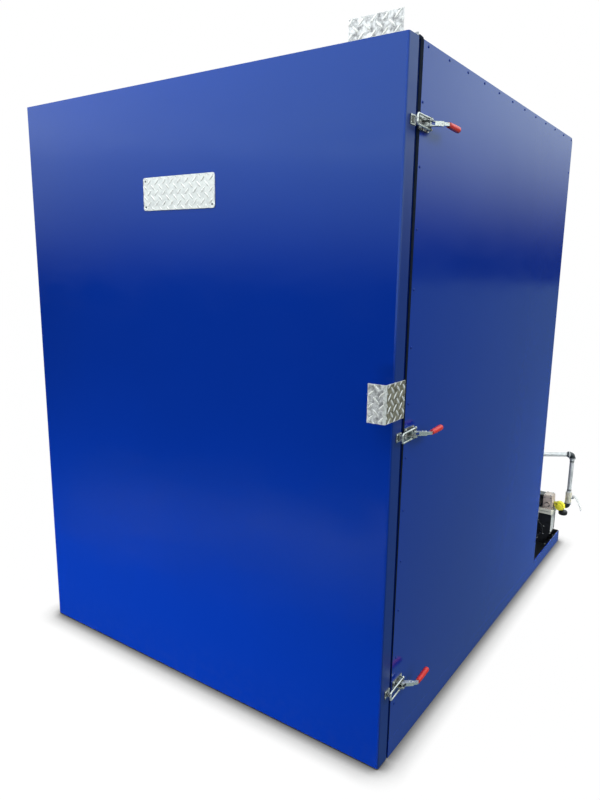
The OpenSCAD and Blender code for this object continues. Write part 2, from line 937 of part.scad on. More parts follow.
module blower_housing() {
    color([0.13, 0.14, 0.15])
    union() {
        along_y(blower_y0, blower_y1) scroll_outline(-cover_t - fit_gap);
        for (y = [blower_y0, blower_y1 - end_plate_t]) along_y(y, y + end_plate_t) end_plate_outline();
        translate([scroll_mid[0], blower_y0, scroll_mid[1]]) rotate([90, 0, 0]) intake();
        translate([scroll_mid[0], blower_y1, scroll_mid[1]]) rotate([-90, 0, 0]) union() {
            cylinder(h = motor_l - motor_edge, r = motor_r);
            cylinder(h = motor_l, r = motor_r - motor_edge);
        }
    }
}

module blower_cover() {
    color("lightgray")
    along_y(blower_y0 + end_plate_t, blower_y1 - end_plate_t) difference() {
        scroll_outline(0);
        scroll_outline(-cover_t);
    }
}

module flange_layer(low, high, inset) {
    translate([blower_x1 + flange_over - flange_w / 2, (blower_y0 + blower_y1) / 2, low])
        linear_extrude(high - low)
            round_plate(flange_w - 2 * inset, blower_d + 2 * (flange_over - inset), flange_corner);
}

module blower_flange() {
    layer = (flange_t - flange_groove) / 2;
    color("beige")
    union() {
        flange_layer(blower_top, blower_top + layer, 0);
        flange_layer(blower_top, head_z, flange_groove);
        flange_layer(head_z - layer, head_z, 0);
    }
}

module burner_head() {
    color("tan")
    difference() {
        union() {
            along_y(head_y0, head_y1)
                polygon([
                    [head_x0, head_z], [head_x1 + head_flare, head_z],
                    [head_x1, head_top - head_lid_t], [head_x0, head_top - head_lid_t]
                ]);
            block([head_x0, head_y0 + head_lid_in, head_top - head_lid_t],
                  [head_x1 - head_lid_in, head_y1 - head_lid_in, head_top]);
            translate([sight_x, head_y0, sight_z]) rotate([90, 0, 0])
                cylinder(h = sight_out, r = sight_r);
            translate([head_x1 - hub_r, gas_y, gas_z]) rotate([0, 90, 0])
                cylinder(h = head_flare + hub_r, r = fitting_r);
        }
        translate([sight_x, head_y0 - sight_out - past, sight_z]) rotate([-90, 0, 0])
        difference() {
            cylinder(h = sight_groove + past, r = sight_r - sight_rim);
            translate([0, 0, -past])
                cylinder(h = sight_groove + 3 * past, r = sight_r - sight_rim - sight_ring);
            translate([-sight_r - past, 0, -past]) rotate([0, 0, sight_tilt])
                cube([sight_r, 2 * sight_r, sight_groove + 3 * past]);
        }
    }
}

module igniter_box() {
    x0 = head_x0 - box_w;
    color([0.05, 0.05, 0.05])
    along_y(box_y0, head_y1)
        polygon([
            [x0, head_z], [head_x0, head_z], [head_x0, box_z1],
            [x0 + box_edge, box_z1], [x0, box_z1 - box_edge]
        ]);
}

// Gas train

// Elbow round the corner of two pipe axes, one leg along +X and one along +Z
module elbow(x_end) {
    union() {
        translate([elbow_bend, 0, elbow_bend]) rotate([90, 0, 0]) rotate([0, 0, 180])
            rotate_extrude(angle = 90) translate([elbow_bend, 0]) circle(elbow_r);
        translate([0, 0, elbow_bend]) cylinder(h = elbow_collar, r = fitting_r);
        translate([elbow_bend, 0, 0]) rotate([0, 90, 0])
            cylinder(h = x_end - elbow_bend, r = fitting_r);
    }
}

module gas_regulator() {
    color("gold")
    union() {
        translate([hub_x0, gas_y, gas_z]) rotate([0, 90, 0])
            cylinder(h = riser_x - side_collar - hub_x0, r = hub_r);
        translate([regulator_x, gas_y + neck_back, gas_z]) rotate([90, 0, 0])
            cylinder(h = neck_back + disc_off, r = neck_r);
        translate([regulator_x, gas_y - disc_off, gas_z]) rotate([90, 0, 0]) rotate_extrude()
            polygon([
                [0, 0], [regulator_d / 2 - regulator_edge, 0], [regulator_d / 2, regulator_edge],
                [regulator_d / 2, regulator_rim], [regulator_face_r, regulator_t],
                [0, regulator_t]
            ]);
        translate([regulator_x, gas_y - disc_off - regulator_t, gas_z]) rotate([90, 0, 0])
            cylinder(h = cap_t, r = cap_r, $fn = 6);
        translate([regulator_boss_x, gas_y, boss_bottom])
            cylinder(h = gas_z - boss_bottom, r = regulator_boss_r);
    }
}

module gas_cock() {
    color([0.05, 0.05, 0.05])
    union() {
        block([regulator_boss_x - cock_w / 2, gas_y - cock_d / 2, boss_bottom - cock_h],
              [regulator_boss_x + cock_w / 2, gas_y + cock_d / 2, boss_bottom]);
        translate([knob_x, gas_y, boss_bottom - cock_h - knob_h]) rotate_extrude()
            polygon([
                [0, 0], [knob_d / 2 - knob_edge, 0], [knob_d / 2, knob_edge],
                [knob_d / 2, knob_h - knob_edge], [knob_d / 2 - knob_edge, knob_h], [0, knob_h]
            ]);
        translate([regulator_boss_x - cock_w / 2 - drain_l, gas_y, boss_bottom - cock_h / 2])
            rotate([0, 90, 0]) cylinder(h = drain_l, r = drain_r);
    }
}

module lower_elbow() {
    color("silver")
    translate([riser_x, gas_y, gas_z]) rotate([0, 0, 180]) elbow(side_collar);
}

module shutoff_valve() {
    color("lightgoldenrodyellow")
    translate([riser_x, gas_y, valve_bottom]) union() {
        cylinder(h = valve_end_h, r = valve_end_r, $fn = 6);
        translate([0, 0, valve_end_h]) cylinder(h = valve_h - 2 * valve_end_h, r = valve_body_r);
        translate([0, 0, valve_h - valve_end_h]) cylinder(h = valve_end_h, r = valve_end_r, $fn = 6);
        translate([0, 0, valve_h / 2]) rotate([0, 90, 0]) cylinder(h = spindle_l, r = spindle_r);
    }
}

module gas_riser() {
    low = valve_bottom + valve_h;
    high = elbow_z - elbow_end;
    color("darkgray")
    translate([riser_x, gas_y, low]) union() {
        cylinder(h = high - low, r = pipe_r);
        for (z = [0, high - low - seal_ring_h])
            translate([0, 0, z]) cylinder(h = seal_ring_h, r = seal_ring_r);
    }
}

// Frame of the inlet pipe: its z runs along the pipe from the elbow's corner, its x points down
module inlet_way() {
    translate([riser_x, gas_y, elbow_z]) rotate([0, 0, 180 + inlet_turn]) rotate([0, 90, 0])
        children();
}

module upper_elbow() {
    color("dimgray") inlet_way() elbow(elbow_end);
}

module gas_inlet() {
    mouth = inlet_l - coupling_in;
    color("darkgray")
    inlet_way() difference() {
        union() {
            translate([0, 0, elbow_end]) cylinder(h = inlet_l - elbow_end, r = pipe_r);
            translate([0, 0, mouth]) cylinder(h = coupling_l, r = fitting_r);
        }
        translate([0, 0, inlet_l]) cylinder(h = coupling_l, r = pipe_r - pipe_play);
        translate([0, 0, elbow_end + pipe_t]) cylinder(h = inlet_l, r = pipe_r - pipe_t);
    }
}

// Band of an arc between two directions, for the lever's bent strip
module arc_band(r, t, from, to) {
    mid = (from + to) / 2;
    intersection() {
        difference() {
            circle(r);
            circle(r - t);
        }
        polygon([
            [0, 0], 2 * r * [cos(from), sin(from)], 2 * r * [cos(mid), sin(mid)],
            2 * r * [cos(to), sin(to)]
        ]);
    }
}

// Strip lever: it rises over the spindle, turns over and sweeps down
module valve_lever() {
    top = [lever_x + lever_top_r, lever_z + lever_step];
    run = lever_long_r - lever_top_r;
    color("lightgray")
    translate([0, gas_y, 0])
    union() {
        translate([lever_x, 0, lever_z]) rotate([0, 90, 0]) cylinder(h = lever_hub_t, r = lever_hub_r);
        translate([0, valve_lever_w / 2, 0]) rotate([90, 0, 0]) linear_extrude(valve_lever_w) union() {
            translate([lever_x, lever_z - lever_step])
                square([valve_lever_t, 2 * lever_step + lever_lap]);
            translate(top) arc_band(lever_top_r, valve_lever_t, lever_turn, 180);
            translate(top - run * [cos(lever_turn), sin(lever_turn)])
                arc_band(lever_long_r, valve_lever_t, lever_end_turn, lever_turn + lever_lap);
        }
    }
}

base_rails();
cross_members();
rear_platform();
floor_panel();
left_wall();
right_wall();
rear_wall();
roof_panel();
front_frame();
left_skin();
right_skin();
cavity_liner();
door_seal();
frame_hinges();
clamp_bases();
door_panel();
door_sheet();
nameplate();
door_handle();
top_bracket();
door_hinges();
clamp_catches();
lever_at(clamp_z_low);  // lever_low
lever_at(clamp_z_mid);  // lever_mid
lever_at(clamp_z_high);  // lever_high
grip_at(clamp_z_low);  // grip_low
grip_at(clamp_z_mid);  // grip_mid
grip_at(clamp_z_high);  // grip_high
hook_at(clamp_z_low);  // hook_low
hook_at(clamp_z_mid);  // hook_mid
hook_at(clamp_z_high);  // hook_high
burner_tube();
blower_housing();
blower_cover();
blower_flange();
burner_head();
igniter_box();
gas_regulator();
gas_cock();
lower_elbow();
shutoff_valve();
gas_riser();
upper_elbow();
gas_inlet();
valve_lever();
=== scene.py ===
import json
import math
import random

import bmesh
import bpy
from mathutils import Matrix, Vector


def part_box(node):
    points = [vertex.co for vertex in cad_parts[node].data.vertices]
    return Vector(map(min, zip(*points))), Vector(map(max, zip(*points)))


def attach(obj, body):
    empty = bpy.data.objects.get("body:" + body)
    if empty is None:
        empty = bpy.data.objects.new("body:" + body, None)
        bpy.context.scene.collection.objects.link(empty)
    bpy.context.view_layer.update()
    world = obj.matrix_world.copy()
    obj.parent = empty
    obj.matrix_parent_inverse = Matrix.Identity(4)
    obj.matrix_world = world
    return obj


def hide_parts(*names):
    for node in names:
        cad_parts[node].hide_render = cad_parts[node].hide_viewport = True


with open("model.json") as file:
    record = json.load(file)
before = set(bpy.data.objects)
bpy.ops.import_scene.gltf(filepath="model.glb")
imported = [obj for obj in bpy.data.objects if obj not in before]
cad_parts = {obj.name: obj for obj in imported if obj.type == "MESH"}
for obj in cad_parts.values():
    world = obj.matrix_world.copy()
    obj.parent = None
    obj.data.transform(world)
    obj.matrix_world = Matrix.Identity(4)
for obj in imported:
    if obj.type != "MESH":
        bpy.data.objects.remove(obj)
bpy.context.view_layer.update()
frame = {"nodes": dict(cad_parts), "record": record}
scene = bpy.context.scene
nodes = frame["nodes"]
MM = 0.001


# Camera: solved from the corners of the door and the side wall, for a frame of 600 x 800
FRAME_LONG = 800
FOCAL_PIXELS = 660.1
SENSOR = 36.0
CAMERA_AT = (1.5237, -1.6173, 1.4668)
YAW, PITCH, ROLL = 34.73, -11.69, 0.80
CLIP_NEAR, CLIP_FAR = 0.05, 200.0

camera_data = bpy.data.cameras.new("camera")
camera_data.sensor_width = SENSOR
camera_data.lens = FOCAL_PIXELS / FRAME_LONG * SENSOR
camera_data.clip_start = CLIP_NEAR
camera_data.clip_end = CLIP_FAR
camera = bpy.data.objects.new("camera", camera_data)
scene.collection.objects.link(camera)
turn = Matrix.Rotation(math.radians(YAW), 4, "Z")
tilt = Matrix.Rotation(math.radians(90 + PITCH), 4, "X")
lean = Matrix.Rotation(math.radians(ROLL), 4, "Z")
camera.matrix_world = Matrix.Translation(CAMERA_AT) @ turn @ tilt @ lean
scene.camera = camera


# Studio
FLOOR_HALF = 60.0
FLOOR_COLOUR = (0.012, 0.012, 0.0125, 1)
FLOOR_LIFT = 0.99
# What the floor shows in a reflection: nearly nothing before the door, a pale tint beside the oven
GLOSS_FRONT, GLOSS_SIDE = 0.03, 0.20
GLOSS_SPLIT = (0.70, 0.78)
GLOSS_COLOUR = (0.62, 0.97, 1.0, 1)
SKY_GLOSS = (0.88, 1.0, 1.0, 1)
# Reach in metres and power of the two contact shadows painted into the floor's glow under the oven
CONTACTS = ((0.09, 1.5), (0.04, 1.2))
CONTACT_SAMPLES = 8
FLOOR_ROUGHNESS = 0.9
SKY_LEVEL = 0.73
SKY_TOP = 1.2
# Sine of the height over the horizon between which the studio's wall turns from dim to white
FRONT_HAZE = (-0.06, 0.17)
REAR_HAZE = (0.0, 0.24)
HAZE_LOW = 0.03
# Part of a direction along Y over which the front's haze turns into the rear's
HAZE_TURN = (-0.3, 0.3)
WHITE = (1, 1, 1, 1)

scene.view_settings.view_transform = "Standard"

world = bpy.data.worlds.new("studio")
scene.world = world
world.use_nodes = True


def feed(tree, socket, value):
    """Links a node's output to a socket, or sets a plain value on it."""
    if isinstance(value, bpy.types.NodeSocket):
        tree.links.new(value, socket)
    else:
        socket.default_value = value


def mixed(tree, factor, a, b, colours=False):
    made = tree.nodes.new("ShaderNodeMix")
    made.data_type = "RGBA" if colours else "FLOAT"
    for index, value in zip((0, 6, 7) if colours else (0, 2, 3), (factor, a, b)):
        feed(tree, made.inputs[index], value)
    return made.outputs[2 if colours else 0]


def worked_out(tree, operation, a, b):
    made = tree.nodes.new("ShaderNodeMath")
    made.operation = operation
    feed(tree, made.inputs[0], a)
    feed(tree, made.inputs[1], b)
    return made.outputs[0]


def ranged(tree, value, limits, levels=(0.0, 1.0), kind="LINEAR"):
    """Turns a value between two limits into one between two levels."""
    made = tree.nodes.new("ShaderNodeMapRange")
    made.interpolation_type = kind
    tree.links.new(value, made.inputs["Value"])
    sockets = ("From Min", "From Max", "To Min", "To Max")
    for socket, number in zip(sockets, (*limits, *levels)):
        made.inputs[socket].default_value = number
    return made.outputs[0]


def coordinate(tree, kind, axis):
    split = tree.nodes.new("ShaderNodeSeparateXYZ")
    tree.links.new(tree.nodes.new("ShaderNodeTexCoord").outputs[kind], split.inputs[0])
    return split.outputs[axis]


def gloss_or_glass(tree, path):
    """1 in a reflection or behind glass, 0 elsewhere."""
    return worked_out(tree, "MAXIMUM", path.outputs["Is Glossy Ray"],
                      path.outputs["Is Transmission Ray"])


def background_rays(tree, seen, gloss):
    """The seen level where the camera looks directly, and the gloss level in gloss and glass."""
    path = tree.nodes.new("ShaderNodeLightPath")
    share = worked_out(tree, "MULTIPLY", gloss_or_glass(tree, path), gloss)
    return mixed(tree, path.outputs["Is Camera Ray"], share, seen)


def studio_wall(tree):
    """Level of the studio's wall in a reflection: dim at the horizon, white higher up."""
    height = coordinate(tree, "Generated", 2)
    front, rear = (ranged(tree, height, haze, (HAZE_LOW, SKY_TOP), "SMOOTHSTEP")
                   for haze in (FRONT_HAZE, REAR_HAZE))
    behind = ranged(tree, coordinate(tree, "Generated", 1), HAZE_TURN, kind="SMOOTHSTEP")
    return mixed(tree, behind, front, rear)


def seen_or(tree, tint):
    """White where the camera looks directly, the tint in every other ray."""
    path = tree.nodes.new("ShaderNodeLightPath")
    return mixed(tree, path.outputs["Is Camera Ray"], tint, WHITE, True)


def make_world():
    """White to the camera, the studio's wall in gloss and glass, plain light elsewhere."""
    tree = world.node_tree
    tree.nodes.clear()
    out = tree.nodes.new("ShaderNodeOutputWorld")
    sky = tree.nodes.new("ShaderNodeBackground")
    tree.links.new(seen_or(tree, SKY_GLOSS), sky.inputs["Color"])
    path = tree.nodes.new("ShaderNodeLightPath")
    indirect = mixed(tree, gloss_or_glass(tree, path), SKY_LEVEL, studio_wall(tree))
    level = mixed(tree, path.outputs["Is Camera Ray"], indirect, 1.0)
    tree.links.new(level, sky.inputs["Strength"])
    tree.links.new(sky.outputs[0], out.inputs["Surface"])


def make_floor():
    mesh = bpy.data.meshes.new("studio_floor")
    h = FLOOR_HALF
    mesh.from_pydata([(-h, -h, 0), (h, -h, 0), (h, h, 0), (-h, h, 0)], [], [(0, 1, 2, 3)])
    floor = bpy.data.objects.new("studio_floor", mesh)
    scene.collection.objects.link(floor)
    material = bpy.data.materials.new("studio_floor")
    material.use_nodes = True
    tree = material.node_tree
    shader = tree.nodes["Principled BSDF"]
    shader.inputs["Base Color"].default_value = FLOOR_COLOUR
    shader.inputs["Roughness"].default_value = FLOOR_ROUGHNESS
    shader.inputs["Specular IOR Level"].default_value = 0.0
    lift = tree.nodes.new("ShaderNodeEmission")
    tree.links.new(seen_or(tree, GLOSS_COLOUR), lift.inputs["Color"])
    gloss = ranged(tree, coordinate(tree, "Object", 0), GLOSS_SPLIT, (GLOSS_FRONT, GLOSS_SIDE))
    # Painted shadow: the floor's glow is darkened by occlusion close to the oven
    shades = []
    for reach, power in CONTACTS:
        contact = tree.nodes.new("ShaderNodeAmbientOcclusion")
        contact.samples = CONTACT_SAMPLES
        contact.inputs["Distance"].default_value = reach
        shades.append(worked_out(tree, "POWER", contact.outputs["AO"], power))
    level = background_rays(tree, worked_out(tree, "MULTIPLY", *shades), gloss)
    tree.links.new(worked_out(tree, "MULTIPLY", level, FLOOR_LIFT), lift.inputs["Strength"])
    add = tree.nodes.new("ShaderNodeAddShader")
    tree.links.new(shader.outputs[0], add.inputs[0])
    tree.links.new(lift.outputs[0], add.inputs[1])
    tree.links.new(add.outputs[0], tree.nodes["Material Output"].inputs["Surface"])
    mesh.materials.append(material)


def soft_lamp(name, at, target, size, watts, glossy=True, spread=180):
    data = bpy.data.lights.new(name, "AREA")
    data.spread = math.radians(spread)
    data.shape = "RECTANGLE"
    data.size, data.size_y = size
    data.energy = watts
    lamp = bpy.data.objects.new(name, data)
    scene.collection.objects.link(lamp)
    lamp.location = at
    lamp.rotation_euler = (Vector(target) - Vector(at)).to_track_quat("-Z", "Y").to_euler()
    lamp.visible_camera = False
    lamp.visible_glossy = glossy


make_world()
make_floor()
soft_lamp("lamp_front", (-4.2, -4.6, 4.2), (0, 0, 2.2), (7.0, 3.0), 27)
soft_lamp("lamp_right", (4.6, 1.2, 3.4), (0.8, 0.8, 1.0), (3.0, 2.0), 114, glossy=False)
soft_lamp("lamp_top", (-0.2, -0.9, 2.75), (0, -0.09, 1.9), (2.4, 0.5), 24, glossy=False)
soft_lamp("lamp_low", (-0.2, -1.0, 0.18), (0, -0.09, 0.1), (2.6, 0.3), 19, glossy=False)
soft_lamp("lamp_rear", (3.6, 0.3, 1.5), (0.72, 1.9, 0.16), (0.8, 0.6), 3.0, False, 34)


# Materials
EDGE_SAMPLES = 4
CREASE_SAMPLES = 6
METAL_SCALE = 160.0


class Finish:
    """A Principled material whose patterns lie in the piece's own coordinates, in metres."""

    def __init__(self, name, **sockets):
        self.material = bpy.data.materials.new(name)
        self.material.use_nodes = True
        self.tree = self.material.node_tree
        self.shader = self.tree.nodes["Principled BSDF"]
        self.coordinates = self.tree.nodes.new("ShaderNodeTexCoord").outputs["Object"]
        for socket, value in sockets.items():
            self.shader.inputs[socket.replace("_", " ")].default_value = value

    def node(self, kind, inputs=(), **properties):
        made = self.tree.nodes.new("ShaderNode" + kind)
        for name, value in properties.items():
            setattr(made, name, value)
        for socket, value in dict(inputs).items():
            self.put(made.inputs[socket], value)
        return made

    def put(self, socket, value):
        feed(self.tree, socket, value)

    def set(self, socket, value):
        self.put(self.shader.inputs[socket], value)

    def stretched(self, factors):
        return self.node("Mapping", {"Vector": self.coordinates, "Scale": factors}).outputs[0]

    def noise(self, scale, detail=2.0, roughness=0.5, stretch=None):
        vector = self.stretched(stretch) if stretch else self.coordinates
        made = self.node("TexNoise", {"Vector": vector, "Scale": scale, "Detail": detail,
                                      "Roughness": roughness})
        return made.outputs["Fac"]

    def span(self, value, low, high, to_low=0.0, to_high=1.0):
        return ranged(self.tree, value, (low, high), (to_low, to_high))

    def math(self, operation, a, b=0.0):
        return worked_out(self.tree, operation, a, b)

    def blend(self, factor, a, b):
        return mixed(self.tree, factor, a, b, True)

    def roughen(self, pattern, low, high):
        self.set("Roughness", self.span(pattern, 0.25, 0.75, low, high))

    def bump(self, height, distance, strength=1.0, normal=None):
        made = self.node("Bump", {"Height": height, "Distance": distance, "Strength": strength})
        if normal:
            self.put(made.inputs["Normal"], normal)
        self.set("Normal", made.outputs[0])
        return made.outputs[0]

    def axis(self, index):
        return self.node("SeparateXYZ", {0: self.coordinates}).outputs[index]

    def crease(self, reach):
        """1 on open surface, less where something stands within reach."""
        made = self.node("AmbientOcclusion", {"Distance": reach}, samples=CREASE_SAMPLES)
        return made.outputs["AO"]

    def flatness(self, radius):
        """1 on the flat, less within a radius of an edge."""
        soft = self.node("Bevel", {"Radius": radius}, samples=EDGE_SAMPLES).outputs[0]
        hard = self.node("NewGeometry").outputs["Normal"]
        made = self.node("VectorMath", {0: soft, 1: hard}, operation="DOT_PRODUCT")
        return made.outputs["Value"]

    def edges(self, radius, low=0.03, high=0.35):
        """1 along convex and concave edges, 0 on the flat, broken up by a fine noise."""
        edge = self.span(self.math("SUBTRACT", 1.0, self.flatness(radius)), low, high)
        return self.math("MULTIPLY", edge, self.span(self.noise(260.0, 3.0), 0.38, 0.62))


def rgb(r, g, b):
    return (r, g, b, 1.0)


GLOSS_TINT = rgb(0.64, 0.94, 1.0)
# Share and top of the dust low down, and on the door's edge faces a painted shade: its colour, its
# share, and how much duller the coat is
DUST_SHARE, DUST_TOP = 0.03, 0.22
EDGE_SHADE, EDGE_SHADE_SHARE, EDGE_DULL = rgb(0.0005, 0.014, 0.11), 0.6, 0.22
# Half of the width in metres over which one tone turns into the other
SHARP_TURN = 0.0004


def gloss_paint(name, base, dark, dust, roughness, edge_from=None):
    """Powder coat: fine orange peel, slow waves of the sheet, faint dust low down and wipe marks.

    Beyond edge_from on either side, the coat is duller, and its colour darker as a painted shade."""
    paint = Finish(name, Specular_Tint=GLOSS_TINT, Specular_IOR_Level=0.6)
    shade = paint.span(paint.noise(1.6, 3.0), 0.3, 0.7)
    colour = paint.blend(shade, dark, base)
    low = paint.span(paint.axis(2), 0.0, DUST_TOP, 1.0, 0.0)
    dirt = paint.math("MULTIPLY", low, paint.span(paint.noise(34.0, 6.0, 0.65), 0.45, 0.75))
    colour = paint.blend(paint.math("MULTIPLY", dirt, DUST_SHARE), colour, dust)
    wipe = paint.noise(5.0, 4.0, 0.6, (1.0, 1.0, 3.0))
    rough = paint.span(wipe, 0.3, 0.7, roughness - 0.03, roughness + 0.05)
    if edge_from:
        # Painted shade: the door's edge faces are darkened in colour, as where less light falls
        edge = paint.span(paint.math("ABSOLUTE", paint.axis(0)), edge_from - SHARP_TURN,
                          edge_from + SHARP_TURN)
        colour = paint.blend(paint.math("MULTIPLY", edge, EDGE_SHADE_SHARE), colour, EDGE_SHADE)
        rough = paint.math("ADD", rough, paint.math("MULTIPLY", edge, EDGE_DULL))
    paint.set("Base Color", colour)
    paint.set("Roughness", rough)
    waves = paint.bump(paint.noise(2.4, 1.0), 0.0016, 0.9)
    peel = paint.noise(420.0, 2.0, 0.55)
    paint.bump(peel, 0.00006, 0.55, waves)
    return paint


def metal(name, base, dark, roughness, metallic=1.0, scratch=0.5, grain=(1.0, 1.0, 1.0),
          pits=0.0, wear=None):
    """Bare or plated metal: cloudy tone, fine scratches along the grain, pits and bright edges."""
    made = Finish(name, Metallic=metallic)
    cloud = made.span(made.noise(METAL_SCALE * 0.3, 4.0, 0.6), 0.32, 0.68)
    colour = made.blend(cloud, dark, base)
    if wear:
        colour = made.blend(made.edges(0.0009), colour, wear)
    made.set("Base Color", colour)
    lines = made.noise(METAL_SCALE * 2.0, 3.0, 0.7, grain)
    spread = 0.08 + 0.1 * scratch
    made.roughen(lines, roughness - spread * 0.5, roughness + spread)
    normal = made.bump(lines, 0.00004, scratch)
    if pits:
        made.bump(made.noise(METAL_SCALE * 5.0, 3.0, 0.6), 0.00025, pits, normal)
    return made


def checker_metal(name, base, dark, rim, crease_shade):
    """Dull rolled plate: blotched tone, painted shade where a lug meets it, rims painted pale as a
    highlight.
    """
    made = Finish(name, Metallic=0.35)
    blotch = made.span(made.noise(70.0, 4.0, 0.65), 0.38, 0.62)
    colour = made.blend(blotch, dark, base)
    # Painted shade: darker where a lug stands close, found by occlusion
    hollow_shade = made.span(made.crease(0.004), 0.55, 0.98, crease_shade, 0.0)
    colour = made.blend(hollow_shade, colour, rgb(0.07, 0.065, 0.05))
    # Painted highlight: a pale band along every edge of the plate
    rubbed_highlight = made.span(made.flatness(0.0035), 0.84, 0.99, 1.0, 0.0)
    made.set("Base Color", made.blend(rubbed_highlight, colour, rim))
    lines = made.noise(320.0, 3.0, 0.7, (1.0, 1.0, 0.2))
    made.roughen(lines, 0.34, 0.48)
    made.bump(lines, 0.00004, 0.6)
    return made


def worn_lug_highlight(name):
    """Tops of the lugs, worn by hands and feet, and painted pale as highlights on their domes."""
    made = Finish(name, Metallic=0.3)
    rubbed_highlight = made.span(made.noise(120.0, 3.0, 0.6), 0.34, 0.6)
    made.set("Base Color", made.blend(rubbed_highlight, rgb(0.70, 0.69, 0.66), rgb(0.96, 0.96, 0.95)))
    lines = made.noise(500.0, 3.0, 0.7, (1.0, 1.0, 0.2))
    made.roughen(lines, 0.2, 0.36)
    made.bump(lines, 0.00003, 0.5)
    return made


def plated_steel(name, base, dark, crease_shade):
    """Bright zinc of stamped hardware: cloudy plating, painted shade in the crevices broken into
    spots, rubbed edges.
    """
    made = Finish(name, Metallic=0.75)
    cloud = made.span(made.noise(60.0, 4.0, 0.6), 0.32, 0.68)
    colour = made.blend(made.edges(0.0009), made.blend(cloud, dark, base), rgb(0.96, 0.96, 0.94))
    # Painted shade: darkened where parts stand close, found by occlusion and broken up by noise
    spot_shade = made.math("MULTIPLY", made.span(made.crease(0.014), 0.42, 0.92, 1.0, 0.0),
                     made.span(made.noise(190.0, 3.0, 0.6), 0.30, 0.55, 0.8, 1.0))
    made.set("Base Color", made.blend(spot_shade, colour, crease_shade))
    lines = made.noise(300.0, 3.0, 0.7, (1.0, 1.0, 0.3))
    made.roughen(lines, 0.12, 0.26)
    dents = made.bump(made.noise(150.0, 2.0), 0.0012, 0.8)
    made.bump(lines, 0.00004, 0.5, dents)
    return made


def casting(name, low, low_dark, high, high_dark, split):
    """Sand-cast aluminium, paler below the split height than above it, with pores, rubbed edges."""
    made = Finish(name, Metallic=0.3)
    cloud = made.span(made.noise(48.0, 4.0, 0.6), 0.32, 0.68)
    upper = made.span(made.axis(2), split - 0.0005, split + 0.0005)
    colour = made.blend(upper, made.blend(cloud, low_dark, low), made.blend(cloud, high_dark, high))
    # Painted shade: darker where parts stand close, found by occlusion
    hollow_shade = made.span(made.crease(0.006), 0.35, 0.8, 0.7, 0.0)
    colour = made.blend(hollow_shade, colour, rgb(0.05, 0.045, 0.04))
    made.set("Base Color", made.blend(made.edges(0.0012), colour, rgb(0.86, 0.83, 0.78)))
    made.set("Roughness", made.span(made.noise(200.0, 3.0), 0.3, 0.7, 0.45, 0.6))
    made.bump(made.noise(900.0, 3.0, 0.6), 0.00025, 0.6)
    return made


def plastic(name, base, dark, roughness, grain=600.0, depth=0.00005, wear=None, **sockets):
    """Moulded or painted surface: slight tone change, fine grain, greyed edges."""
    made = Finish(name, **sockets)
    colour = made.blend(made.span(made.noise(60.0, 4.0, 0.6), 0.3, 0.7), dark, base)
    if wear:
        colour = made.blend(made.math("MULTIPLY", made.edges(0.001), 0.7), colour, wear)
    made.set("Base Color", colour)
    touched = made.noise(90.0, 3.0)
    made.set("Roughness", made.span(touched, 0.3, 0.7, roughness - 0.05, roughness + 0.08))
    made.bump(made.noise(grain, 2.0), depth, 0.6)
    return made


BLUE = rgb(0.0005, 0.0275, 0.315)
BLUE_DARK = rgb(0.0004, 0.0255, 0.292)
DUST = rgb(0.20, 0.22, 0.26)
# Metres: half the width of the door's flat front, and the top of the burner head's flange
DOOR_EDGE = 0.7604
FLANGE_TOP = 0.206

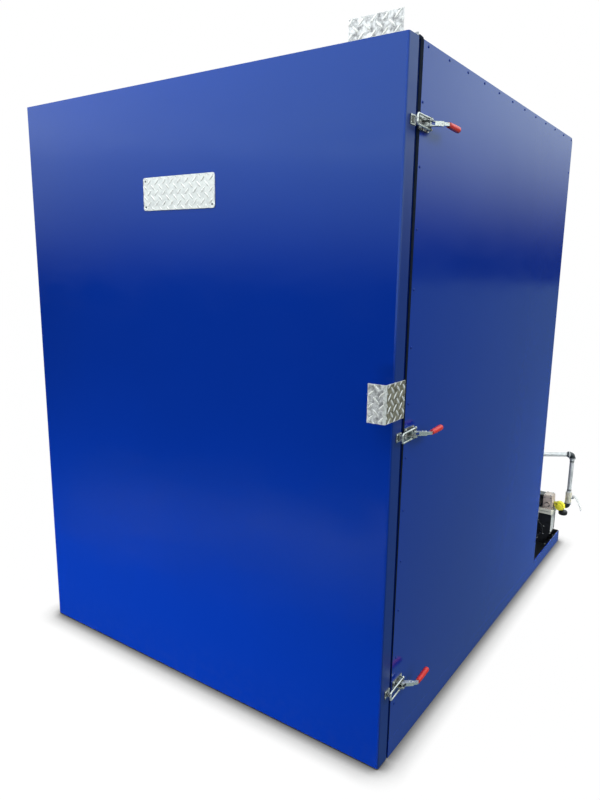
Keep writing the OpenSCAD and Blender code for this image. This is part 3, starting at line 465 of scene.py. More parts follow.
look = {
    "blue_gloss": gloss_paint("powder_coat_blue", BLUE, BLUE_DARK, DUST, 0.12),
    "dark_blue": gloss_paint("powder_coat_blue_base", rgb(0.0010, 0.023, 0.27),
                             rgb(0.0008, 0.019, 0.235), DUST, 0.20),
    "liner_steel": metal("aluminised_liner", rgb(0.74, 0.75, 0.76), rgb(0.62, 0.63, 0.64), 0.36,
                         metallic=0.6, scratch=0.6, grain=(1.0, 1.0, 0.05)),
    "black_rubber": plastic("seal_rubber", rgb(0.004, 0.008, 0.022), rgb(0.002, 0.005, 0.014), 0.75,
                            grain=900.0, depth=0.00008, Specular_IOR_Level=0.12),
    "bright_zinc": plated_steel("bright_zinc", rgb(0.96, 0.96, 0.93), rgb(0.76, 0.77, 0.73),
                                rgb(0.035, 0.035, 0.032)),
    "checker_plate": checker_metal("checker_pale", rgb(0.93, 0.94, 0.93), rgb(0.78, 0.79, 0.79),
                                   rgb(0.97, 0.97, 0.97), 0.35),
    "red_vinyl": plastic("dipped_vinyl", rgb(0.80, 0.030, 0.024), rgb(0.66, 0.020, 0.016), 0.24,
                         grain=350.0, depth=0.00010),
    "dark_steel": metal("dark_steel", rgb(0.16, 0.16, 0.17), rgb(0.09, 0.09, 0.10), 0.42,
                        scratch=0.4, pits=0.3, wear=rgb(0.35, 0.35, 0.36)),
    "black_paint": plastic("black_enamel", rgb(0.020, 0.021, 0.023), rgb(0.010, 0.011, 0.012), 0.34,
                           grain=500.0, depth=0.00006, wear=rgb(0.12, 0.12, 0.12)),
    "grey_paint": plastic("grey_enamel", rgb(0.60, 0.61, 0.60), rgb(0.50, 0.51, 0.50), 0.36,
                          grain=450.0, depth=0.00005, wear=rgb(0.35, 0.35, 0.35)),
    "cast_aluminium": casting("cast_aluminium", rgb(0.96, 0.94, 0.82), rgb(0.86, 0.83, 0.71),
                              rgb(0.74, 0.62, 0.55), rgb(0.60, 0.50, 0.44), FLANGE_TOP),
    "yellow_paint": plastic("yellow_enamel", rgb(0.96, 0.90, 0.08), rgb(0.88, 0.80, 0.04), 0.32,
                            grain=400.0, depth=0.00008, wear=rgb(0.60, 0.56, 0.20)),
    "black_plastic": plastic("black_plastic", rgb(0.016, 0.016, 0.017), rgb(0.010, 0.010, 0.011),
                             0.42, grain=700.0, depth=0.00007),
    "brass_fitting": metal("plated_brass", rgb(0.84, 0.80, 0.66), rgb(0.66, 0.61, 0.46), 0.34,
                           metallic=0.35, scratch=0.4, wear=rgb(0.90, 0.87, 0.76)),
    "pipe_steel": metal("galvanised_pipe", rgb(0.74, 0.75, 0.76), rgb(0.54, 0.55, 0.56), 0.42,
                        metallic=0.35, scratch=0.5, grain=(1.0, 1.0, 0.1), pits=0.25,
                        wear=rgb(0.90, 0.90, 0.90)),
}

# The door's coat with a painted shade on its edge faces, the valve lever's plating, and other tones
# of the checker plate: grey and blotched, a darker brown painted as shade and reflection on faces
# turned away, and the lug tops, worn and painted pale as highlights
DOOR_PAINT = gloss_paint("powder_coat_door", BLUE, BLUE_DARK, DUST, 0.12, DOOR_EDGE)
CHECKER_GREY = checker_metal("checker_grey", rgb(0.84, 0.84, 0.86), rgb(0.25, 0.25, 0.26),
                             rgb(0.95, 0.95, 0.95), 0.8)
CHECKER_BROWN_SHADE = checker_metal("checker_brown_shade", rgb(0.40, 0.37, 0.28), rgb(0.14, 0.125, 0.09),
                              rgb(0.95, 0.95, 0.95), 0.85)
CHECKER_LUG = worn_lug_highlight("checker_lug")
LEVER_ZINC = metal("lever_zinc", rgb(0.84, 0.85, 0.84), rgb(0.66, 0.67, 0.66), 0.38, metallic=0.2,
                   scratch=0.5, wear=rgb(0.92, 0.92, 0.90))
OTHER_FINISH = {"door_panel": DOOR_PAINT, "valve_lever": LEVER_ZINC}
# Places in a checker plate's materials, after the plate's own at 0
LUG, BROWN = 1, 2

node_slots = {part["node"]: part["material_slot"] for part in frame["record"]["subparts"]}
BEVELS = {
    "door_panel": 0.6, "right_skin": 0.5, "left_skin": 0.5, "front_frame": 0.8, "base_rails": 1.2,
    "cross_members": 1.5, "rear_platform": 0.8, "rear_wall": 1.0, "roof_panel": 1.0,
    "clamp_bases": 0.35, "clamp_catches": 0.35, "lever_low": 0.35, "lever_mid": 0.35,
    "lever_high": 0.35, "blower_housing": 0.5, "blower_cover": 0.4, "blower_flange": 1.2,
    "burner_head": 1.6, "igniter_box": 1.2, "gas_regulator": 0.8, "gas_cock": 0.8,
    "shutoff_valve": 0.6, "valve_lever": 0.5, "frame_hinges": 0.5, "door_hinges": 0.5,
    "burner_tube": 0.6, "upper_elbow": 0.5, "lower_elbow": 0.5, "gas_inlet": 0.4,
    "door_seal": 1.5, "door_sheet": 0.5,
}
SMOOTH_ANGLE = math.radians(32)
WELD_REACH = 0.00001


def dress(obj, slot):
    obj.data.materials.clear()
    obj.data.materials.append(look[slot].material)


def round_edges(obj, width):
    """Rounds sharp edges by a radius in mm."""
    bevel = obj.modifiers.new("bevel", "BEVEL")
    bevel.width = width * MM
    bevel.segments = 2
    bevel.limit_method = "ANGLE"
    bevel.angle_limit = SMOOTH_ANGLE
    bevel.harden_normals = True


def soften(obj, width):
    """Rounds the sharp edges of a CAD node by a small real radius."""
    weld = obj.modifiers.new("weld", "WELD")
    weld.merge_threshold = WELD_REACH
    round_edges(obj, width)


for name, obj in nodes.items():
    dress(obj, node_slots[name])
    if name in OTHER_FINISH:
        obj.data.materials[0] = OTHER_FINISH[name].material
    if name in BEVELS:
        soften(obj, BEVELS[name])


# Mesh building in the CAD frame: sizes are in mm, and the matrices that place them in metres
def place(at, normal=(0, 0, 1), spin=0.0):
    """Matrix that puts a local frame at a point, its Z along the normal."""
    aim = Vector(normal).to_track_quat("Z", "Y").to_matrix().to_4x4()
    return Matrix.Translation(at) @ aim @ Matrix.Rotation(spin, 4, "Z")


def axes(at, u, v, w):
    """Matrix that puts a local frame at a point, with its three axes given."""
    made = Matrix.Identity(4)
    for column, axis in enumerate((u, v, w)):
        for row in range(3):
            made[row][column] = axis[row]
    return Matrix.Translation(at) @ made


def facing_front(at):
    return axes(at, (1, 0, 0), (0, 0, 1), (0, -1, 0))


def facing_right(at):
    return axes(at, (0, 1, 0), (0, 0, 1), (1, 0, 0))


def lying(at):
    return axes(at, (1, 0, 0), (0, 1, 0), (0, 0, 1))


def revolve(bm, profile, where, sides=24, spin=0.0):
    """Turns (radius, height) points in mm round the local Z axis. Ends with a radius are capped."""
    rings = []
    for radius, height in profile:
        count = sides if radius > 0 else 1
        ring = []
        for i in range(count):
            angle = 2 * math.pi * i / sides + spin
            point = Vector((radius * math.cos(angle), radius * math.sin(angle), height)) * MM
            ring.append(bm.verts.new(where @ point))
        rings.append(ring)
    for low, high in zip(rings, rings[1:]):
        for i in range(sides):
            j = (i + 1) % sides
            corners = [low[i % len(low)], low[j % len(low)],
                       high[j % len(high)], high[i % len(high)]]
            unique = list(dict.fromkeys(corners))
            if len(unique) > 2:
                bm.faces.new(unique)
    if len(rings[0]) > 1:
        bm.faces.new(reversed(rings[0]))
    if len(rings[-1]) > 1:
        bm.faces.new(rings[-1])


def prism(bm, outline, where, low, high):
    """Extrudes an outline of (u, v) points in mm from one height to the other."""
    rings = [[bm.verts.new(where @ (Vector((u, v, h)) * MM)) for u, v in outline]
             for h in (low, high)]
    count = len(outline)
    walls = []
    for i in range(count):
        j = (i + 1) % count
        walls.append(bm.faces.new((rings[0][i], rings[0][j], rings[1][j], rings[1][i])))
    bm.faces.new(list(reversed(rings[0])))
    bm.faces.new(rings[1])
    return walls


def hoop(bm, where, radius, height, tube, sides=40, steps=8):
    """Closed ring of round wire round the local Z axis, in mm."""
    rings = []
    for i in range(sides):
        turn = 2 * math.pi * i / sides
        ring = []
        for k in range(steps):
            bend = 2 * math.pi * k / steps
            reach = radius + tube * math.cos(bend)
            point = Vector((reach * math.cos(turn), reach * math.sin(turn),
                            height + tube * math.sin(bend)))
            ring.append(bm.verts.new(where @ (point * MM)))
        rings.append(ring)
    for i in range(sides):
        for k in range(steps):
            a, b = rings[i], rings[(i + 1) % sides]
            bm.faces.new((a[k], b[k], b[(k + 1) % steps], a[(k + 1) % steps]))


def frame_loop(bm, profile, half, low, high):
    """Sweeps a closed profile of (inset, y) points in mm round an upright rectangle, mitred."""
    rings = []
    for inset, y in profile:
        corners = ((-1, low + inset), (1, low + inset), (1, high - inset), (-1, high - inset))
        rings.append([bm.verts.new(metres(side * (half - inset), y, z)) for side, z in corners])
    for a, b in zip(rings, rings[1:] + rings[:1]):
        for i in range(4):
            bm.faces.new((a[i], a[(i + 1) % 4], b[(i + 1) % 4], b[i]))


def thread(bm, where, start, length, radius, depth, pitch, sides=14):
    """Screw thread as a stack of ridges on a rod, along the local Z axis."""
    profile = []
    for k in range(int(length / pitch)):
        profile += [(radius, start + k * pitch), (radius + depth, start + (k + 0.5) * pitch)]
    revolve(bm, profile + [(radius, start + length)], where, sides)


def arc(centre, radius, start, end, steps):
    """Points of an arc in degrees, both ends in."""
    turns = [math.radians(start + (end - start) * i / steps) for i in range(steps + 1)]
    return [(centre[0] + radius * math.cos(t), centre[1] + radius * math.sin(t)) for t in turns]


def round_points(middle, radius, count):
    """Evenly spaced points round a middle, the first one half a step on."""
    half = 180.0 / count
    return arc(middle, radius, half, 360.0 - half, count - 1)


def rounded(width, height, radius, steps=6):
    """Outline of a rectangle with round corners, about its middle."""
    points = []
    for sx, sy, start in ((1, 1, 0), (-1, 1, 90), (-1, -1, 180), (1, -1, 270)):
        centre = (sx * (width / 2 - radius), sy * (height / 2 - radius))
        points += arc(centre, radius, start, start + 90, steps)
    return points


def piece(name, bm, slot, body, bevel=0.0, replaces=(), finishes=()):
    """Makes an object of the mesh, with its material or materials, on its body."""
    bmesh.ops.recalc_face_normals(bm, faces=bm.faces)
    mesh = bpy.data.meshes.new(name)
    bm.to_mesh(mesh)
    bm.free()
    mesh.polygons.foreach_set("use_smooth", [True] * len(mesh.polygons))
    mesh.set_sharp_from_angle(angle=SMOOTH_ANGLE)
    obj = bpy.data.objects.new(name, mesh)
    scene.collection.objects.link(obj)
    for finish in finishes or (look[slot],):
        mesh.materials.append(finish.material)
    if bevel:
        round_edges(obj, bevel)
    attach(obj, body)
    if replaces:
        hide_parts(*replaces)


def span_of(node):
    """Low and high corner of a CAD node in mm."""
    low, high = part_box(node)
    return [c / MM for c in low], [c / MM for c in high]


def metres(*point):
    return Vector(point) * MM


# Fasteners, in mm
SCREW_SIDES = 6
SMALL_CAP = (2.6, 1.8, 0.8)


def hex_screw(bm, at, normal, flat=8.0, height=4.2, washer=5.2, spin=0.0):
    """Hexagon washer-head screw."""
    where = place(metres(*at), normal, spin)
    revolve(bm, [(washer, 0), (washer, 0.6), (washer * 0.82, 1.1)], where, 20)
    corner = flat / 2 / math.cos(math.pi / SCREW_SIDES)
    head = [(corner, 0.6), (corner, height - 0.7), (corner * 0.86, height)]
    revolve(bm, head, where, SCREW_SIDES)


def dome_rivet(bm, at, normal, radius=3.2, height=1.5):
    """Round head, flat on its seat."""
    where = place(metres(*at), normal)
    profile = [(radius * math.cos(t), height * math.sin(t))
               for t in (math.radians(18 * k) for k in range(5))] + [(0, height)]
    revolve(bm, profile, where, 18)


def cap_screw(bm, at, normal, radius=4.0, height=3.0, slot_width=1.0):
    """Slotted cheese-head screw: two half discs with the slot between them, on a thin floor."""
    where = place(metres(*at), normal, math.radians(37))
    revolve(bm, [(radius, 0), (radius, height * 0.55)], where, 18)
    for side in (0, 180):
        edge = math.degrees(math.asin(slot_width / 2 / radius))
        outline = arc((0, 0), radius, side + edge, side + 180 - edge, 9)
        prism(bm, outline, where, height * 0.5, height)


# Checker plate: crossed lugs on a thinner plate, inside the CAD plate's thickness
LUG_H = 0.8
LUG_L = 25.0
LUG_W = 6.4
LUG_PITCH = 33.0
LUG_SINK = 0.2
LUG_POINTS = 16
PLATE_T = 3.0
PLATE_BEND = 8.0
PLATE_RIM = 0.8


def lug(bm, where, centre, angle, keep):
    """One pointed lug with a domed back, cut where the plate ends."""
    rings = []
    for scale, height in ((1.0, -LUG_SINK), (1.0, 0.12), (0.88, 0.55 * LUG_H), (0.62, LUG_H)):
        ring = []
        for i in range(LUG_POINTS):
            t = 2 * math.pi * i / LUG_POINTS
            along = LUG_L / 2 * math.cos(t) * (0.35 + 0.65 * scale)
            across = LUG_W / 2 * math.sin(t) * abs(math.sin(t)) ** 0.35 * scale
            u = centre[0] + along * math.cos(angle) - across * math.sin(angle)
            v = centre[1] + along * math.sin(angle) + across * math.cos(angle)
            u, v = keep(u, v)
            ring.append(bm.verts.new(where @ (Vector((u, v, height)) * MM)))
        rings.append(ring)
    for low, high in zip(rings, rings[1:]):
        for i in range(LUG_POINTS):
            j = (i + 1) % LUG_POINTS
            bm.faces.new((low[i], low[j], high[j], high[i])).material_index = LUG
    bm.faces.new(rings[-1]).material_index = LUG
    bm.faces.new(list(reversed(rings[0])))


def lug_field(bm, where, low, high, phase=(0.0, 0.0), corner=0.0):
    """Fills a rectangle with lugs at 45 degrees, each next to one turned the other way."""
    middle = ((low[0] + high[0]) / 2, (low[1] + high[1]) / 2)
    half = ((high[0] - low[0]) / 2, (high[1] - low[1]) / 2)

    def keep(u, v):
        du = max(-half[0], min(half[0], u - middle[0]))
        dv = max(-half[1], min(half[1], v - middle[1]))
        past_u, past_v = abs(du) - half[0] + corner, abs(dv) - half[1] + corner
        if corner and past_u > 0 and past_v > 0:
            reach = math.hypot(past_u, past_v)
            if reach > corner:
                du = math.copysign(half[0] - corner + past_u * corner / reach, du)
                dv = math.copysign(half[1] - corner + past_v * corner / reach, dv)
        return middle[0] + du, middle[1] + dv

    def inside(u, v, margin):
        return (abs(u - middle[0]) < half[0] + margin
                and abs(v - middle[1]) < half[1] + margin)

    columns = int(half[0] * 2 / LUG_PITCH) + 3
    rows = int(half[1] * 2 / LUG_PITCH) + 3
    for i in range(-columns, columns + 1):
        for j in range(-rows, rows + 1):
            for shift, angle in ((0.0, 45.0), (0.5, -45.0)):
                u = phase[0] + (i + shift) * LUG_PITCH
                v = phase[1] + (j + shift) * LUG_PITCH
                if inside(u, v, LUG_L * 0.28):
                    lug(bm, where, (u, v), math.radians(angle), keep)


def make_nameplate():
    """Bare plate with lugs and a small rivet at each corner."""
    low, high = span_of("nameplate")
    width, height, back = high[0] - low[0], high[2] - low[2], high[1]
    where = facing_front(metres((low[0] + high[0]) / 2, back, (low[2] + high[2]) / 2))
    thick = back - low[1] - LUG_H
    bm = bmesh.new()
    prism(bm, rounded(width, height, 8.0), where, 0, thick)
    raised = where @ Matrix.Translation((0, 0, thick * MM))
    lug_field(bm, raised, (1 - width / 2, 1 - height / 2), (width / 2 - 1, height / 2 - 1),
              (6.0, 3.0), 7.0)
    piece("nameplate_plate", bm, "checker_plate", "door", 0.25, ["nameplate"],
          (look["checker_plate"], CHECKER_LUG))
    bm = bmesh.new()
    inset = 11.0
    for sx in (-1, 1):
        for sz in (-1, 1):
            at = ((low[0] + high[0]) / 2 + sx * (width / 2 - inset), low[1] + LUG_H,
                  (low[2] + high[2]) / 2 + sz * (height / 2 - inset))
            dome_rivet(bm, at, (0, -1, 0), 3.0, LUG_H)
    piece("nameplate_rivets", bm, "dark_steel", "door")


def make_handle():
    """Bent handle: its front leg stands before the door, its side leg lies on the door's edge."""
    low, high = span_of("door_handle")
    radius = PLATE_BEND - LUG_H
    thick = PLATE_T - LUG_H
    x_out, y_front = high[0] - LUG_H, low[1] + LUG_H
    centre = (x_out - radius, y_front + radius)
    bend = 8
    outline = [(low[0], y_front)] + arc(centre, radius, -90, 0, bend) + [(x_out, high[1])]
    outline += [(x_out - thick, high[1])] + arc(centre, radius - thick, 0, -90, bend)
    outline += [(low[0], y_front + thick)]
    bm = bmesh.new()
    walls = prism(bm, outline, lying((0, 0, 0)), low[2], high[2])
    # Painted highlight: the bend's outer faces take the pale finish of the lug tops
    for wall in walls[1:bend + 1]:
        wall.material_index = LUG
    # Painted shade and reflection: the side leg's faces, turned away, take a darker brown copy of
    # the plate
    for wall in walls[bend + 1:bend + 4]:
        wall.material_index = BROWN
    front = facing_front(metres(low[0], y_front, low[2]))
    tall = high[2] - low[2]
    end = (x_out - radius - low[0] + 2.0, tall - PLATE_RIM)
    lug_field(bm, front, (PLATE_RIM, PLATE_RIM), end, (9.0, 12.0))
    side = facing_right(metres(x_out, y_front, low[2]))
    end = (high[1] - y_front - PLATE_RIM, tall - PLATE_RIM)
    lug_field(bm, side, (radius - 2.0, PLATE_RIM), end, (21.0, 4.0))
    piece("handle_plate", bm, "checker_plate", "door", 0.25, ["door_handle"],
          (CHECKER_GREY, CHECKER_LUG, CHECKER_BROWN_SHADE))


def make_bracket():
    """Angle of checker plate on top of the door."""
    low, high = span_of("top_bracket")
    thick = PLATE_T - LUG_H
    y_front = low[1] + LUG_H
    outline = [(y_front, low[2]), (high[1], low[2]), (high[1], low[2] + thick)]
    outline += arc((y_front + thick + 2.0, low[2] + thick + 2.0), 2.0, 270, 180, 5)
    outline += [(y_front + thick, high[2]), (y_front, high[2])]
    bm = bmesh.new()
    prism(bm, outline, facing_right((0, 0, 0)), low[0], high[0])
    front = facing_front(metres(low[0], y_front, low[2]))
    wide, tall = high[0] - low[0], high[2] - low[2]
    end = (wide - PLATE_RIM, tall - PLATE_RIM)
    lug_field(bm, front, (PLATE_RIM, PLATE_RIM), end, (4.0, 8.0))
    foot = lying(metres(low[0], y_front, low[2] + thick))
    end = (wide - PLATE_RIM, high[1] - y_front - PLATE_RIM)
    lug_field(bm, foot, (PLATE_RIM, 6.0), end, (4.0, 20.0))
    piece("bracket_plate", bm, "checker_plate", "door", 0.25, ["top_bracket"],
          (CHECKER_GREY, CHECKER_LUG))


make_nameplate()
make_handle()
make_bracket()


# Screws of the side sheets: a row along the top and a column along each upright edge
ROW_COUNT = 12
ROW_Y, ROW_STEP, ROW_Z = 21.0, 133.3, 1997.0
COLUMN_Z, COLUMN_STEP = 171.0, 154.0
COLUMN_FRONT, COLUMN_REAR = 1.0, 1491.0
TOP_ROW = [(ROW_Y + ROW_STEP * i, ROW_Z) for i in range(ROW_COUNT)]
FRONT_COLUMN = [(COLUMN_FRONT, COLUMN_Z + COLUMN_STEP * i) for i in range(ROW_COUNT)]
REAR_COLUMN = [(COLUMN_REAR, COLUMN_Z + COLUMN_STEP * i) for i in range(ROW_COUNT)]


def sheet_screws(name, side):
    bm = bmesh.new()
    face = span_of("right_skin")[1][0]
    dice = random.Random(7)
    for y, z in TOP_ROW + FRONT_COLUMN + REAR_COLUMN:
        hex_screw(bm, (side * face, y, z), (side, 0, 0), 5.0, 2.2, 3.6, dice.uniform(0, 1))
    piece(name, bm, "dark_blue", "oven", 0.2)


sheet_screws("sheet_screws_right", 1)
sheet_screws("sheet_screws_left", -1)


# Toggle clamps. Their own frame: u along the side towards the rear, v out of the side
CLAMPS = {"low": 238.0, "mid": 1012.0, "high": 1815.0}
SIDE_X, FRAME_Y = 762.0, -25.0
HOOK_PIN = (47.0, 14.0)
HOOK_END = (-36.0, 18.0)
ROD_W = 13.0
SEAT = 3.0
BASE_SCREWS = ((12.5, -11.5), (12.5, 11.5), (57.5, -11.5), (57.5, 11.5))
CATCH_RIVETS = ((-38.0, -8.0), (-38.0, 8.0), (-18.0, -8.0), (-18.0, 8.0))
# Place and radius of the rivets in a lever's bar, and half of the bar's width
LEVER_RIVETS = ((61.0, 40.5, 2.6), (54.0, 33.0, 2.2))
LEVER_HALF = 5.9
HOOK_THREAD_L, HOOK_THREAD_R, HOOK_THREAD_PITCH = 30.0, 2.45, 1.5


def clamp_point(u, v, w, z):
    return (SIDE_X + v, FRAME_Y + u, z + w)


def make_clamp_screws():
    """Screws through the base plates on the oven and the catch plates on the door."""
    dice = random.Random(11)
    base, catch = bmesh.new(), bmesh.new()
    for z in CLAMPS.values():
        for u, w in BASE_SCREWS:
            at = clamp_point(u, SEAT, w, z)
            hex_screw(base, at, (1, 0, 0), 6.0, 2.8, 4.0, dice.uniform(0, 1))
        for u, w in CATCH_RIVETS:
            dome_rivet(catch, clamp_point(u, SEAT, w, z), (1, 0, 0), 2.8, 1.6)
    piece("clamp_base_screws", base, "bright_zinc", "oven", 0.15)
    piece("clamp_catch_rivets", catch, "bright_zinc", "door")


def make_lever_rivets(level, z):
    """Rivets that close the two side plates of a lever."""
    bm = bmesh.new()
    for side in (-1, 1):
        for u, v, radius in LEVER_RIVETS:
            dome_rivet(bm, clamp_point(u, v, side * LEVER_HALF, z), (0, 0, side), radius, 1.2)
    piece("lever_rivets_" + level, bm, "bright_zinc", "clamp_" + level)


def make_hook_threads(level, z):
    """Thread on both rods of a hook, from the nuts towards the bend, with a washer at its start."""
    bm = bmesh.new()
    run = Vector((HOOK_END[0] - HOOK_PIN[0], HOOK_END[1] - HOOK_PIN[1]))
    along = Vector((run[1], run[0], 0)).normalized()
    for side in (-1, 1):
        at = Vector(clamp_point(*HOOK_PIN, side * ROD_W, z)) * MM
        where = place(at, along)
        thread(bm, where, 1.5, HOOK_THREAD_L, HOOK_THREAD_R, 0.3, HOOK_THREAD_PITCH)
        revolve(bm, [(4.6, 0.2), (4.6, 1.0)], where, 18)
    piece("hook_threads_" + level, bm, "bright_zinc", "bow_" + level)


make_clamp_screws()
for level, z in CLAMPS.items():
    make_lever_rivets(level, z)
    make_hook_threads(level, z)


# Hinges: screws in both leaves and a head on each end of the pins
HINGE_Z = (255.0, 1006.0, 1757.0)
HINGE_AXIS = (-776.0, -29.5)
LEAF_X = -765.0
LEAF_SCREWS = (-44.0, 0.0, 44.0)
FRAME_LEAF_Y, DOOR_LEAF_Y = 6.0, -62.0
PIN_HALF = 60.0


def make_hinge_screws():
    frame_bm, door_bm = bmesh.new(), bmesh.new()
    for z in HINGE_Z:
        for up in LEAF_SCREWS:
            dome_rivet(frame_bm, (LEAF_X, FRAME_LEAF_Y, z + up), (-1, 0, 0), 4.2, 2.2)
            dome_rivet(door_bm, (LEAF_X, DOOR_LEAF_Y, z + up), (-1, 0, 0), 4.2, 2.2)
        for side in (-1, 1):
            dome_rivet(frame_bm, (*HINGE_AXIS, z + side * PIN_HALF), (0, 0, side), 6.4, 2.5)
    piece("hinge_screws_frame", frame_bm, "blue_gloss", "oven")
    piece("hinge_screws_door", door_bm, "blue_gloss", "door")


make_hinge_screws()


# Seal: a strip with two soft beads round the opening, and the fill beside the leaning side sheets
SEAL_HALF, SEAL_LOW, SEAL_HIGH = 756.0, 64.0, 2001.0
SEAL_BACK, SEAL_FRONT, SEAL_W = -25.0, -33.7, 34.0
LEAN = 17.0
SEAL_END_X = 755.0
SEAL_END = ((-33.4, 2001.5), (-9.0, 2007.0), (-9.6, 2009.5), (-12.0, 2011.0), (-30.0, 2012.5),
            (-33.4, 2011.0))
SEAL_TAB = ((-33.6, 2001.5), (-32.2, 2001.5), (-32.2, 2018.0), (-33.6, 2018.0))


def make_seal():
    """The strip, the fill beside the side sheets, and the strip's bent ends with their tabs."""
    bm = bmesh.new()
    crown = 2.6
    flat = SEAL_FRONT + crown
    bead = SEAL_W / 2 - 1.5
    profile = [(0.0, SEAL_BACK), (0.0, flat)]
    for start in (0.0, SEAL_W - bead):
        profile += [(start + bead * (1 - math.cos(t)) / 2, flat - crown * math.sin(t))
                    for t in (math.pi * k / 10 for k in range(1, 10))]
        profile.append((start + bead, flat))
        if start == 0.0:
            profile += [(start + bead + 0.6, flat + 2.2), (SEAL_W - bead - 0.6, flat + 2.2),
                        (SEAL_W - bead, flat)]
    profile.append((SEAL_W, SEAL_BACK))
    frame_loop(bm, profile, SEAL_HALF, SEAL_LOW, SEAL_HIGH)
    low, high = span_of("right_skin")
    # The black wedge beside each leaning side sheet is partly seal and partly painted shade for the
    # deep gap there
    for side in (-1, 1):
        where = facing_right((0, 0, 0))
        wedge = [(FRAME_Y, low[2]), (FRAME_Y + LEAN, high[2]), (FRAME_Y, high[2])]
        ends = sorted((side * low[0], side * high[0]))
        prism(bm, wedge, where, *ends)
    piece("seal_strip", bm, "black_rubber", "oven", 0.0, ["door_seal"])
    ends_bm, tabs_bm = bmesh.new(), bmesh.new()
    for side in (-1, 1):
        where = facing_right(metres(side * SEAL_END_X, 0, 0))
        prism(ends_bm, SEAL_END, where, -6.5, 6.5)
        prism(tabs_bm, SEAL_TAB, where, -7.0, 4.0)
    piece("seal_ends", ends_bm, "black_rubber", "oven", 0.8)
    piece("seal_tabs", tabs_bm, "liner_steel", "oven", 0.3)


make_seal()


SHEET_INSET = 14.0
SHEET_ACROSS, SHEET_UP = 8, 12


def spaced(low, high, steps):
    """Even places between the insets from two edges, both ends in."""
    return [low + SHEET_INSET + (high - low - 2 * SHEET_INSET) * i / steps
            for i in range(steps + 1)]


def make_sheet_rivets():
    """Rivets round the edge of the door's inner sheet."""
    low, high = span_of("door_sheet")
    bm = bmesh.new()
    across = spaced(low[0], high[0], SHEET_ACROSS)
    up = spaced(low[2], high[2], SHEET_UP)
    for x in across:
        for z in (up[0], up[-1]):
            dome_rivet(bm, (x, high[1], z), (0, 1, 0), 3.4, 1.4)
    for z in up[1:-1]:
        for x in (across[0], across[-1]):
            dome_rivet(bm, (x, high[1], z), (0, 1, 0), 3.4, 1.4)
    piece("door_sheet_rivets", bm, "liner_steel", "door")


make_sheet_rivets()


# Burner: fasteners, the wheel behind the intake's guard, and the motor's end
SCROLL_MID = (656.0, 84.0)
PLATE_FRONT, PLATE_REAR = 1871.0, 1958.0
COVER_X = 738.0
MOTOR_END = 1970.0
RIM_SCREWS, RIM_R = 8, 54.0
COVER_SCREW_Z, COVER_SCREW_Y = (36.0, 78.0, 120.0, 162.0), (1880.0, 1949.0)
FOOT_X, FOOT_Z, FOOT_OUT = (636.0, 736.0), (8.0, 11.0), 15.0
FOOT_SCREW_X, FOOT_SCREW_OUT = (650.0, 722.0), 8.0
BLADES, BLADE_AT, BLADE_OUT, BLADE_IN = 18, 33.0, 11.0, 9.6
GUARD_RINGS = (15.0, 22.0, 29.0, 36.0)
MOTOR_FINS = 16
FLANGE_BOLTS = ((616.0, 1871.5), (684.0, 1871.5), (616.0, 1957.0), (676.0, 1957.0),
                (736.0, 1957.0))
LID_X, LID_Y = (699.0, 726.0), (1880.0, 1929.0)
FLANGE_Z, LID_Z = 206.0, 280.0
HEAD_FACES = ((1879.0, -1), (1938.0, 1))
HEAD_SCREWS = ((621.0, 213.0), (685.0, 213.0), (621.0, 269.0), (685.0, 269.0))
IGNITER_SCREWS = ((698.0, 268.0), (729.0, 268.0), (698.0, 212.5))
IGNITER_FACE = 1871.0


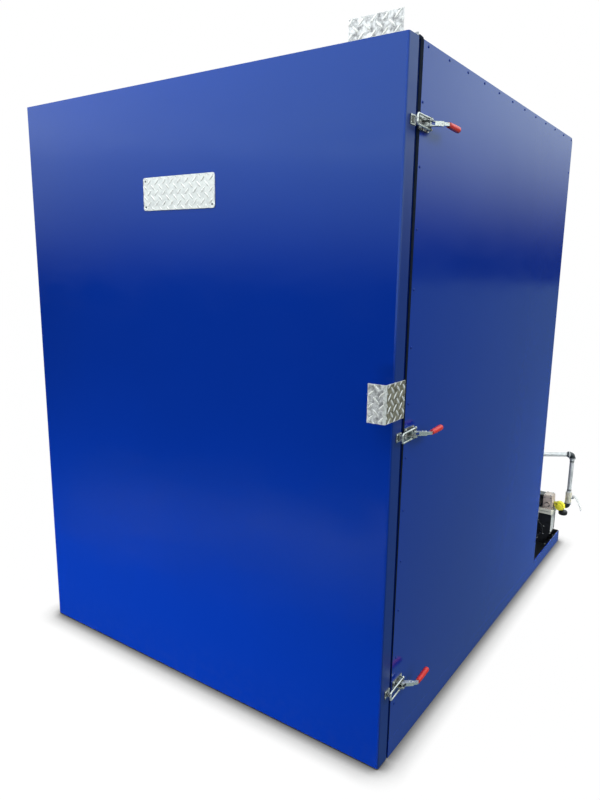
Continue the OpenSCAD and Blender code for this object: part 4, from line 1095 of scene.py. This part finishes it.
def make_blower_details():
    """Screws, the two feet, the wheel, the guard's rings and the motor's end."""
    screws = bmesh.new()
    dice = random.Random(5)
    for x, z in round_points(SCROLL_MID, RIM_R, RIM_SCREWS):
        for y, side in ((PLATE_FRONT, -1), (PLATE_REAR, 1)):
            hex_screw(screws, (x, y, z), (0, side, 0), 5.0, 2.6, 3.4, dice.uniform(0, 1))
    for z in COVER_SCREW_Z:
        for y in COVER_SCREW_Y:
            cap_screw(screws, (COVER_X, y, z), (1, 0, 0), *SMALL_CAP)
    for x in FOOT_SCREW_X:
        for y in (PLATE_FRONT - FOOT_SCREW_OUT, PLATE_REAR + FOOT_SCREW_OUT):
            hex_screw(screws, (x, y, FOOT_Z[1]), (0, 0, 1), 8.0, 4.5, 5.4, dice.uniform(0, 1))
    piece("blower_screws", screws, "bright_zinc", "oven", 0.15)

    feet = bmesh.new()
    for y, side in ((PLATE_FRONT, -1), (PLATE_REAR, 1)):
        low, high = sorted((y, y + side * FOOT_OUT))
        outline = [(FOOT_X[0], low), (FOOT_X[1], low), (FOOT_X[1], high), (FOOT_X[0], high)]
        prism(feet, outline, lying((0, 0, 0)), *FOOT_Z)
    piece("blower_feet", feet, "black_paint", "oven", 0.6)

    wheel = bmesh.new()
    front = facing_front(metres(SCROLL_MID[0], PLATE_FRONT, SCROLL_MID[1]))
    for k in range(BLADES):
        turn = 360.0 / BLADES * k
        angle = math.radians(turn)
        centre = (BLADE_AT * math.cos(angle), BLADE_AT * math.sin(angle))
        outer = arc(centre, BLADE_OUT, turn - 60, turn + 60, 8)
        inner = arc(centre, BLADE_IN, turn + 60, turn - 60, 8)
        prism(wheel, outer + inner, front, 0.1, 1.8)
    piece("blower_wheel", wheel, "grey_paint", "oven")

    guard = bmesh.new()
    for radius in GUARD_RINGS:
        hoop(guard, front, radius, 5.4, 0.9)
    piece("intake_guard", guard, "black_paint", "oven")

    motor = bmesh.new()
    back = axes(metres(SCROLL_MID[0], MOTOR_END, SCROLL_MID[1]),
                (1, 0, 0), (0, 0, -1), (0, 1, 0))
    revolve(motor, [(41.0, -0.5), (41.0, 1.5), (38.0, 3.5), (14.0, 5.0), (13.0, 8.0), (11.0, 9.0),
                    (0.0, 9.0)], back, 48)
    fin = [(16.0, -1.1), (37.0, -1.1), (37.0, 1.1), (16.0, 1.1)]
    for k in range(MOTOR_FINS):
        spun = back @ Matrix.Rotation(math.radians(360.0 / MOTOR_FINS * k), 4, "Z")
        prism(motor, fin, spun, 2.5, 6.2)
    piece("motor_end", motor, "black_paint", "oven", 0.4)


def make_head_details():
    """Bolts of the flange and the lid, and screws of the igniter box and the head."""
    bolts = bmesh.new()
    dice = random.Random(9)
    for x, y in FLANGE_BOLTS:
        hex_screw(bolts, (x, y, FLANGE_Z), (0, 0, 1), 7.0, 4.5, 4.6, dice.uniform(0, 1))
    for x in LID_X:
        for y in LID_Y:
            hex_screw(bolts, (x, y, LID_Z), (0, 0, 1), 5.0, 2.8, 3.4, dice.uniform(0, 1))
    piece("head_bolts", bolts, "bright_zinc", "oven", 0.2)
    screws = bmesh.new()
    for x, z in HEAD_SCREWS:
        for y, side in HEAD_FACES:
            cap_screw(screws, (x, y, z), (0, side, 0), *SMALL_CAP)
    for x, z in IGNITER_SCREWS:
        cap_screw(screws, (x, IGNITER_FACE, z), (0, -1, 0), *SMALL_CAP)
    piece("box_screws", screws, "dark_steel", "oven", 0.1)


make_blower_details()
make_head_details()


# Gas train
RISER_X, GAS_Y, GAS_Z = 808.0, 1910.5, 230.0
REGULATOR_X, DISC_BACK = 773.0, 1894.4
ELBOW_Z, INLET_TURN = 513.0, 35.0
KNOB_AT = (788.0, 1910.5, 179.5)
LEVER_AT = (828.0, 1910.5, 281.0)
VALVE_X = 823.0
DISC_SCREWS, DISC_SCREW_R, DISC_T = 8, 23.6, 7.6
VENT_OFF = (-13.0, -13.8, 11.0)
RIDGES = 24
# From an elbow's middle to its mouths, and the two ends of the upright pipe that show
MOUTH, SIDE_MOUTH = 18.6, 15.6
RISER_LOW, RISER_HIGH = 316.0, 481.0
INLET_THREAD = (24.2, 10.8)
THREAD_L, THREAD_R, THREAD_DEPTH, THREAD_PITCH, THREAD_SIDES = 9.0, 10.6, 0.5, 1.8, 28


def make_regulator_details():
    screws, vent = bmesh.new(), bmesh.new()
    for x, z in round_points((REGULATOR_X, GAS_Z), DISC_SCREW_R, DISC_SCREWS):
        cap_screw(screws, (x, DISC_BACK - DISC_T, z), (0, -1, 0), 2.3, 3.6, 0.7)
    piece("regulator_screws", screws, "bright_zinc", "oven", 0.1)
    at = metres(REGULATOR_X, DISC_BACK, GAS_Z) + metres(*VENT_OFF)
    revolve(vent, [(3.0, 0.0), (3.0, 1.2), (1.8, 1.2), (1.4, 0.5), (0.0, 0.5)],
            place(at, (0, -1, 0)), 18)
    piece("regulator_vent", vent, "black_plastic", "oven")


def make_knob_ridges():
    bm = bmesh.new()
    ridge = [(20.8, -1.0), (21.9, -0.7), (22.1, 0.0), (21.9, 0.7), (20.8, 1.0)]
    for k in range(RIDGES):
        where = place(metres(*KNOB_AT), (0, 0, 1), math.radians(360.0 / RIDGES * k))
        prism(bm, ridge, where, 3.5, 17.5)
    pointer = [(-1.2, 4.0), (1.2, 4.0), (0.8, 17.0), (-0.8, 17.0)]
    prism(bm, pointer, place(metres(*KNOB_AT), (0, 0, -1)), -0.1, 1.2)
    piece("knob_ridges", bm, "black_plastic", "oven", 0.15)


def make_fittings():
    """Beads round the mouths of the elbows, threads of the pipes, the valve's packing nut."""
    bands, threads, nut = bmesh.new(), bmesh.new(), bmesh.new()
    turn = math.radians(180 + INLET_TURN)
    inlet = (math.cos(turn), math.sin(turn), 0)
    bead = [(15.4, 0.0), (16.2, 0.5), (16.2, 4.5), (15.4, 5.0)]
    mouths = ((GAS_Z, (0, 0, 1), MOUTH), (GAS_Z, (-1, 0, 0), SIDE_MOUTH),
              (ELBOW_Z, (0, 0, -1), MOUTH), (ELBOW_Z, inlet, MOUTH))
    for z, way, off in mouths:
        where = place(metres(RISER_X, GAS_Y, z), way) @ Matrix.Translation((0, 0, off * MM))
        revolve(bands, bead, where, 32)
    piece("elbow_beads", bands, "pipe_steel", "oven")
    runs = ((RISER_LOW, (0, 0, 1), 0.0, THREAD_L), (RISER_HIGH, (0, 0, -1), 0.0, THREAD_L),
            (ELBOW_Z, inlet, *INLET_THREAD))
    for z, way, start, length in runs:
        thread(threads, place(metres(RISER_X, GAS_Y, z), way), start, length, THREAD_R,
               THREAD_DEPTH, THREAD_PITCH, THREAD_SIDES)
    piece("pipe_threads", threads, "dark_steel", "oven")
    revolve(nut, [(8.6, 0.0), (8.6, 4.5), (7.6, 5.2)],
            place(metres(VALVE_X - 4.6, *LEVER_AT[1:]), (1, 0, 0)), SCREW_SIDES)
    piece("packing_nut", nut, "brass_fitting", "oven", 0.2)


def make_lever_nut():
    bm = bmesh.new()
    where = place(metres(*LEVER_AT), (1, 0, 0))
    revolve(bm, [(7.0, 0.0), (7.0, 1.0)], where, 24)
    revolve(bm, [(5.8, 1.0), (5.8, 4.6), (5.0, 5.2)], where, SCREW_SIDES)
    thread(bm, where, 5.2, 3.0, 2.6, 0.3, 1.0)
    piece("lever_nut", bm, "bright_zinc", "gas_lever", 0.15)


make_regulator_details()
make_knob_ridges()
make_fittings()
make_lever_nut()
